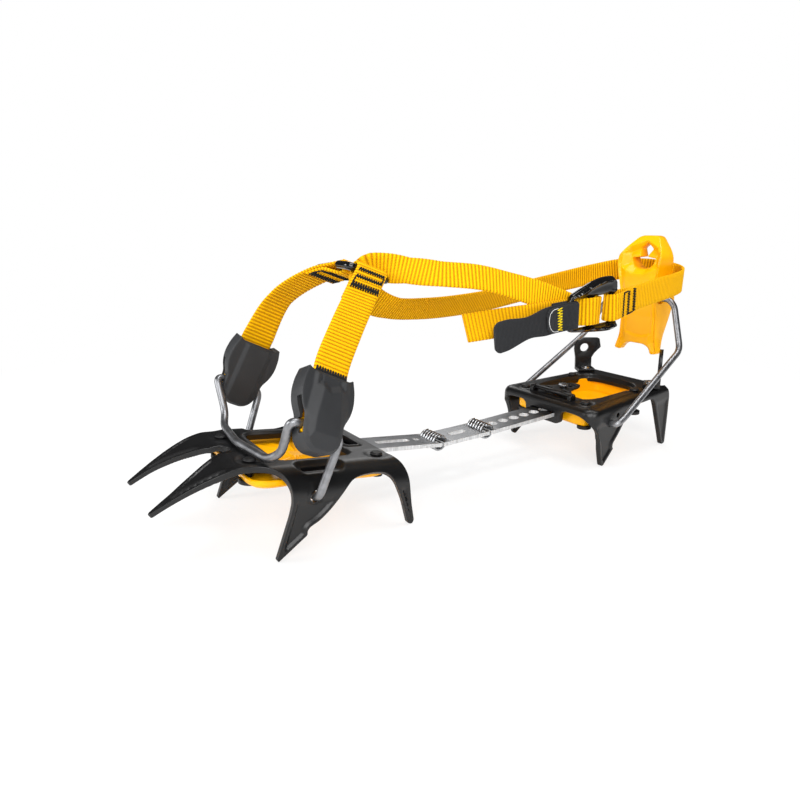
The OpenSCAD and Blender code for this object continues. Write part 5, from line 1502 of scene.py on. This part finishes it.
class CRAMPON_OT_stage(bpy.types.Operator):
    """Sets the floor, the light and the camera of the product view"""
    bl_idname = "crampon.stage"
    bl_label = "Stage and camera"

    def execute(self, context):
        bpy.ops.mesh.primitive_plane_add(size=8, location=(0, 0, CAD_LOW[2] - 0.0002))
        floor = context.object
        floor.name = "floor"
        bpy.ops.object.transform_apply(location=True, rotation=False, scale=False)
        # White paper: matt, and brought up to white for the camera away from the part's shadow
        made, tree, shader = start_finish("white_paper", Roughness=0.9, Specular_IOR_Level=0.1,
                                          Base_Color=(*hex_linear("#f6f6f6"), 1))
        glow = add(tree, "Emission", inputs={"Color": (1, 1, 1, 1), "Strength": 1.0})
        path = add(tree, "LightPath")
        away = add(tree, "VectorMath", {"operation": "LENGTH"}, {0: add(tree, "TexCoord").outputs["Object"]})
        fade = add(tree, "MapRange", inputs={"Value": away.outputs["Value"], "From Min": 0.22,
                                             "From Max": 0.5, "To Min": 0.75})
        share = add(tree, "Math", {"operation": "MULTIPLY"},
                    {0: path.outputs["Is Camera Ray"], 1: fade.outputs["Result"]})
        add(tree, "MixShader", inputs={0: share.outputs[0], 1: shader.outputs[0], 2: glow.outputs[0]},
            into=tree.nodes["Material Output"].inputs["Surface"])
        floor.data.materials.append(made)
        world = bpy.data.worlds.new("studio")
        context.scene.world = world
        world.use_nodes = True
        tree = world.node_tree
        sky = tree.nodes["Background"]
        path = add(tree, "LightPath")
        # White to the camera, a dim room in reflections, a soft sky for everything else
        seen = add(tree, "Math", {"operation": "MAXIMUM"},
                   {0: path.outputs["Is Camera Ray"], 1: path.outputs["Is Transmission Ray"]})
        room = add(tree, "MapRange", inputs={"Value": path.outputs["Is Glossy Ray"], "To Min": SKY_LIGHT,
                                             "To Max": SKY_GLOSS})
        add(tree, "Math", {"operation": "MAXIMUM"}, {0: seen.outputs[0], 1: room.outputs["Result"]},
            into=sky.inputs["Strength"])
        sky.inputs["Color"].default_value = (1, 1, 1, 1)
        for name, place, aim, size, power in LAMPS:
            bpy.ops.object.light_add(type="AREA", location=place)
            lamp = context.object
            lamp.name, lamp.data.size, lamp.data.energy = name, size, power
            lamp.rotation_euler = (Vector(aim) - Vector(place)).to_track_quat("-Z", "Y").to_euler()
        turn, rise, roll = (math.radians(a) for a in CAMERA_TURN)
        back = Vector((math.sin(turn) * math.cos(rise), -math.cos(turn) * math.cos(rise), math.sin(rise)))
        right = Vector((math.cos(turn), math.sin(turn), 0))
        up = back.cross(right)
        across = math.cos(roll) * right + math.sin(roll) * up
        above = math.cos(roll) * up - math.sin(roll) * right
        bpy.ops.object.camera_add()
        camera = context.object
        turned = Matrix((across, above, back)).transposed().to_4x4()
        camera.matrix_world = Matrix.Translation(CAMERA_AT) @ turned
        camera.data.lens, camera.data.sensor_width, camera.data.clip_start = CAMERA_LENS, CAMERA_SENSOR, 0.01
        camera.data.shift_x, camera.data.shift_y = CAMERA_SHIFT
        context.scene.camera = camera
        context.scene.view_settings.view_transform = "Standard"
        return {"FINISHED"}


# Settings and panel

def colour_of(code, name, text):
    """A colour of the settings, with its default as an sRGB hex value."""
    return FloatVectorProperty(name=name, description=text, subtype="COLOR", size=3, min=0, max=1,
                               default=hex_linear(code))


def length_of(mm, name, text):
    """A length of the settings, with its default in millimetres."""
    return FloatProperty(name=name, description=text, unit="LENGTH", default=mm * MM)


class CRAMPON_PG_colours(bpy.types.PropertyGroup):
    """Colours of the finishes"""
    coat: colour_of("#0b0b0c", "Coat", "Powder coat of the frames, posts and lever")
    # Bar and bar edge: the faces are painted darker as a dim reflection, and the edges lighter as a painted
    # highlight
    bar: colour_of("#6c6d6f", "Bar", "Rolled faces of the linking bar")
    bar_edge_highlight: colour_of("#cdcecf", "Bar edge", "Sheared edges and holes of the linking bar")
    wire: colour_of("#8b8c8f", "Wire", "Wire bails")
    pin: colour_of("#a9abae", "Pin", "Rivets, pins and hinge coils")
    plastic: colour_of("#f7ae00", "Plastic", "Heel piece and anti-balling plates")
    keeper: colour_of("#27282a", "Keeper", "Strap keepers")
    stud: colour_of("#131314", "Stud", "Studs of the plates")
    lacquer: colour_of("#0a0a0b", "Lacquer", "Buckle and ring")
    web_crest: colour_of("#f6bb00", "Rib", "Raised ribs of the straps")
    # Darker colour at the rib valleys: painted shade in the creases
    web_valley_shade: colour_of("#a56800", "Rib valley", "Valleys between the ribs")
    tab_crest: colour_of("#323335", "Tab", "Raised threads of the pull tab")
    # Darker colour between the tab's threads: painted shade in the creases
    tab_valley_shade: colour_of("#1d1d1f", "Tab valley", "Valleys between the tab's threads")
    thread: colour_of("#121212", "Stitch", "Bar tacks of the straps")
    tab_thread: colour_of("#ffd000", "Tab stitch", "Zigzag of the pull tab")
    line: colour_of("#e8e8e4", "Line", "Outline stitch of the pull tab")


class CRAMPON_PG_sizes(bpy.types.PropertyGroup):
    """Sizes of the soft pieces and of broken edges"""
    toe_width: length_of(18.0, "Toe strap", "Width of the toe straps")
    ankle_width: length_of(15.0, "Ankle strap", "Width of the ankle strap")
    rib_pitch: length_of(1.9, "Rib pitch", "Distance between the straps' ribs")
    edge: length_of(0.4, "Edge", "Radius of the frames' edges")


# In the order of making
PIECES = [CRAMPON_OT_front_frame, CRAMPON_OT_rear_frame, CRAMPON_OT_plates, CRAMPON_OT_wires, CRAMPON_OT_bars,
          CRAMPON_OT_toe_straps, CRAMPON_OT_keepers, CRAMPON_OT_ankle_strap, CRAMPON_OT_buckle,
          CRAMPON_OT_heel_piece, CRAMPON_OT_adjuster, CRAMPON_OT_hardware, CRAMPON_OT_stage]


class CRAMPON_PT_panel(bpy.types.Panel):
    """Lists the pieces and their settings"""
    bl_idname = "CRAMPON_PT_panel"
    bl_label = "Crampon"
    bl_space_type = "VIEW_3D"
    bl_region_type = "UI"
    bl_category = "Crampon"

    def draw(self, context):
        for group in (context.scene.crampon_sizes, context.scene.crampon_colours):
            box = self.layout.box()
            for name in group.__annotations__:
                box.prop(group, name)
        for piece in PIECES:
            self.layout.operator(piece.bl_idname)


CLASSES = [CRAMPON_PG_colours, CRAMPON_PG_sizes, *PIECES, CRAMPON_PT_panel]


def register():
    """Adds the classes and the scene's settings."""
    for made in CLASSES:
        bpy.utils.register_class(made)
    bpy.types.Scene.crampon_colours = PointerProperty(type=CRAMPON_PG_colours)
    bpy.types.Scene.crampon_sizes = PointerProperty(type=CRAMPON_PG_sizes)


def unregister():
    """Takes the settings and the classes out again."""
    del bpy.types.Scene.crampon_sizes, bpy.types.Scene.crampon_colours
    for made in reversed(CLASSES):
        bpy.utils.unregister_class(made)


def main():
    """Makes every piece in order."""
    register()
    for piece in PIECES:
        getattr(bpy.ops.crampon, piece.bl_idname.split(".")[1])()


if __name__ == "__main__":
    main()
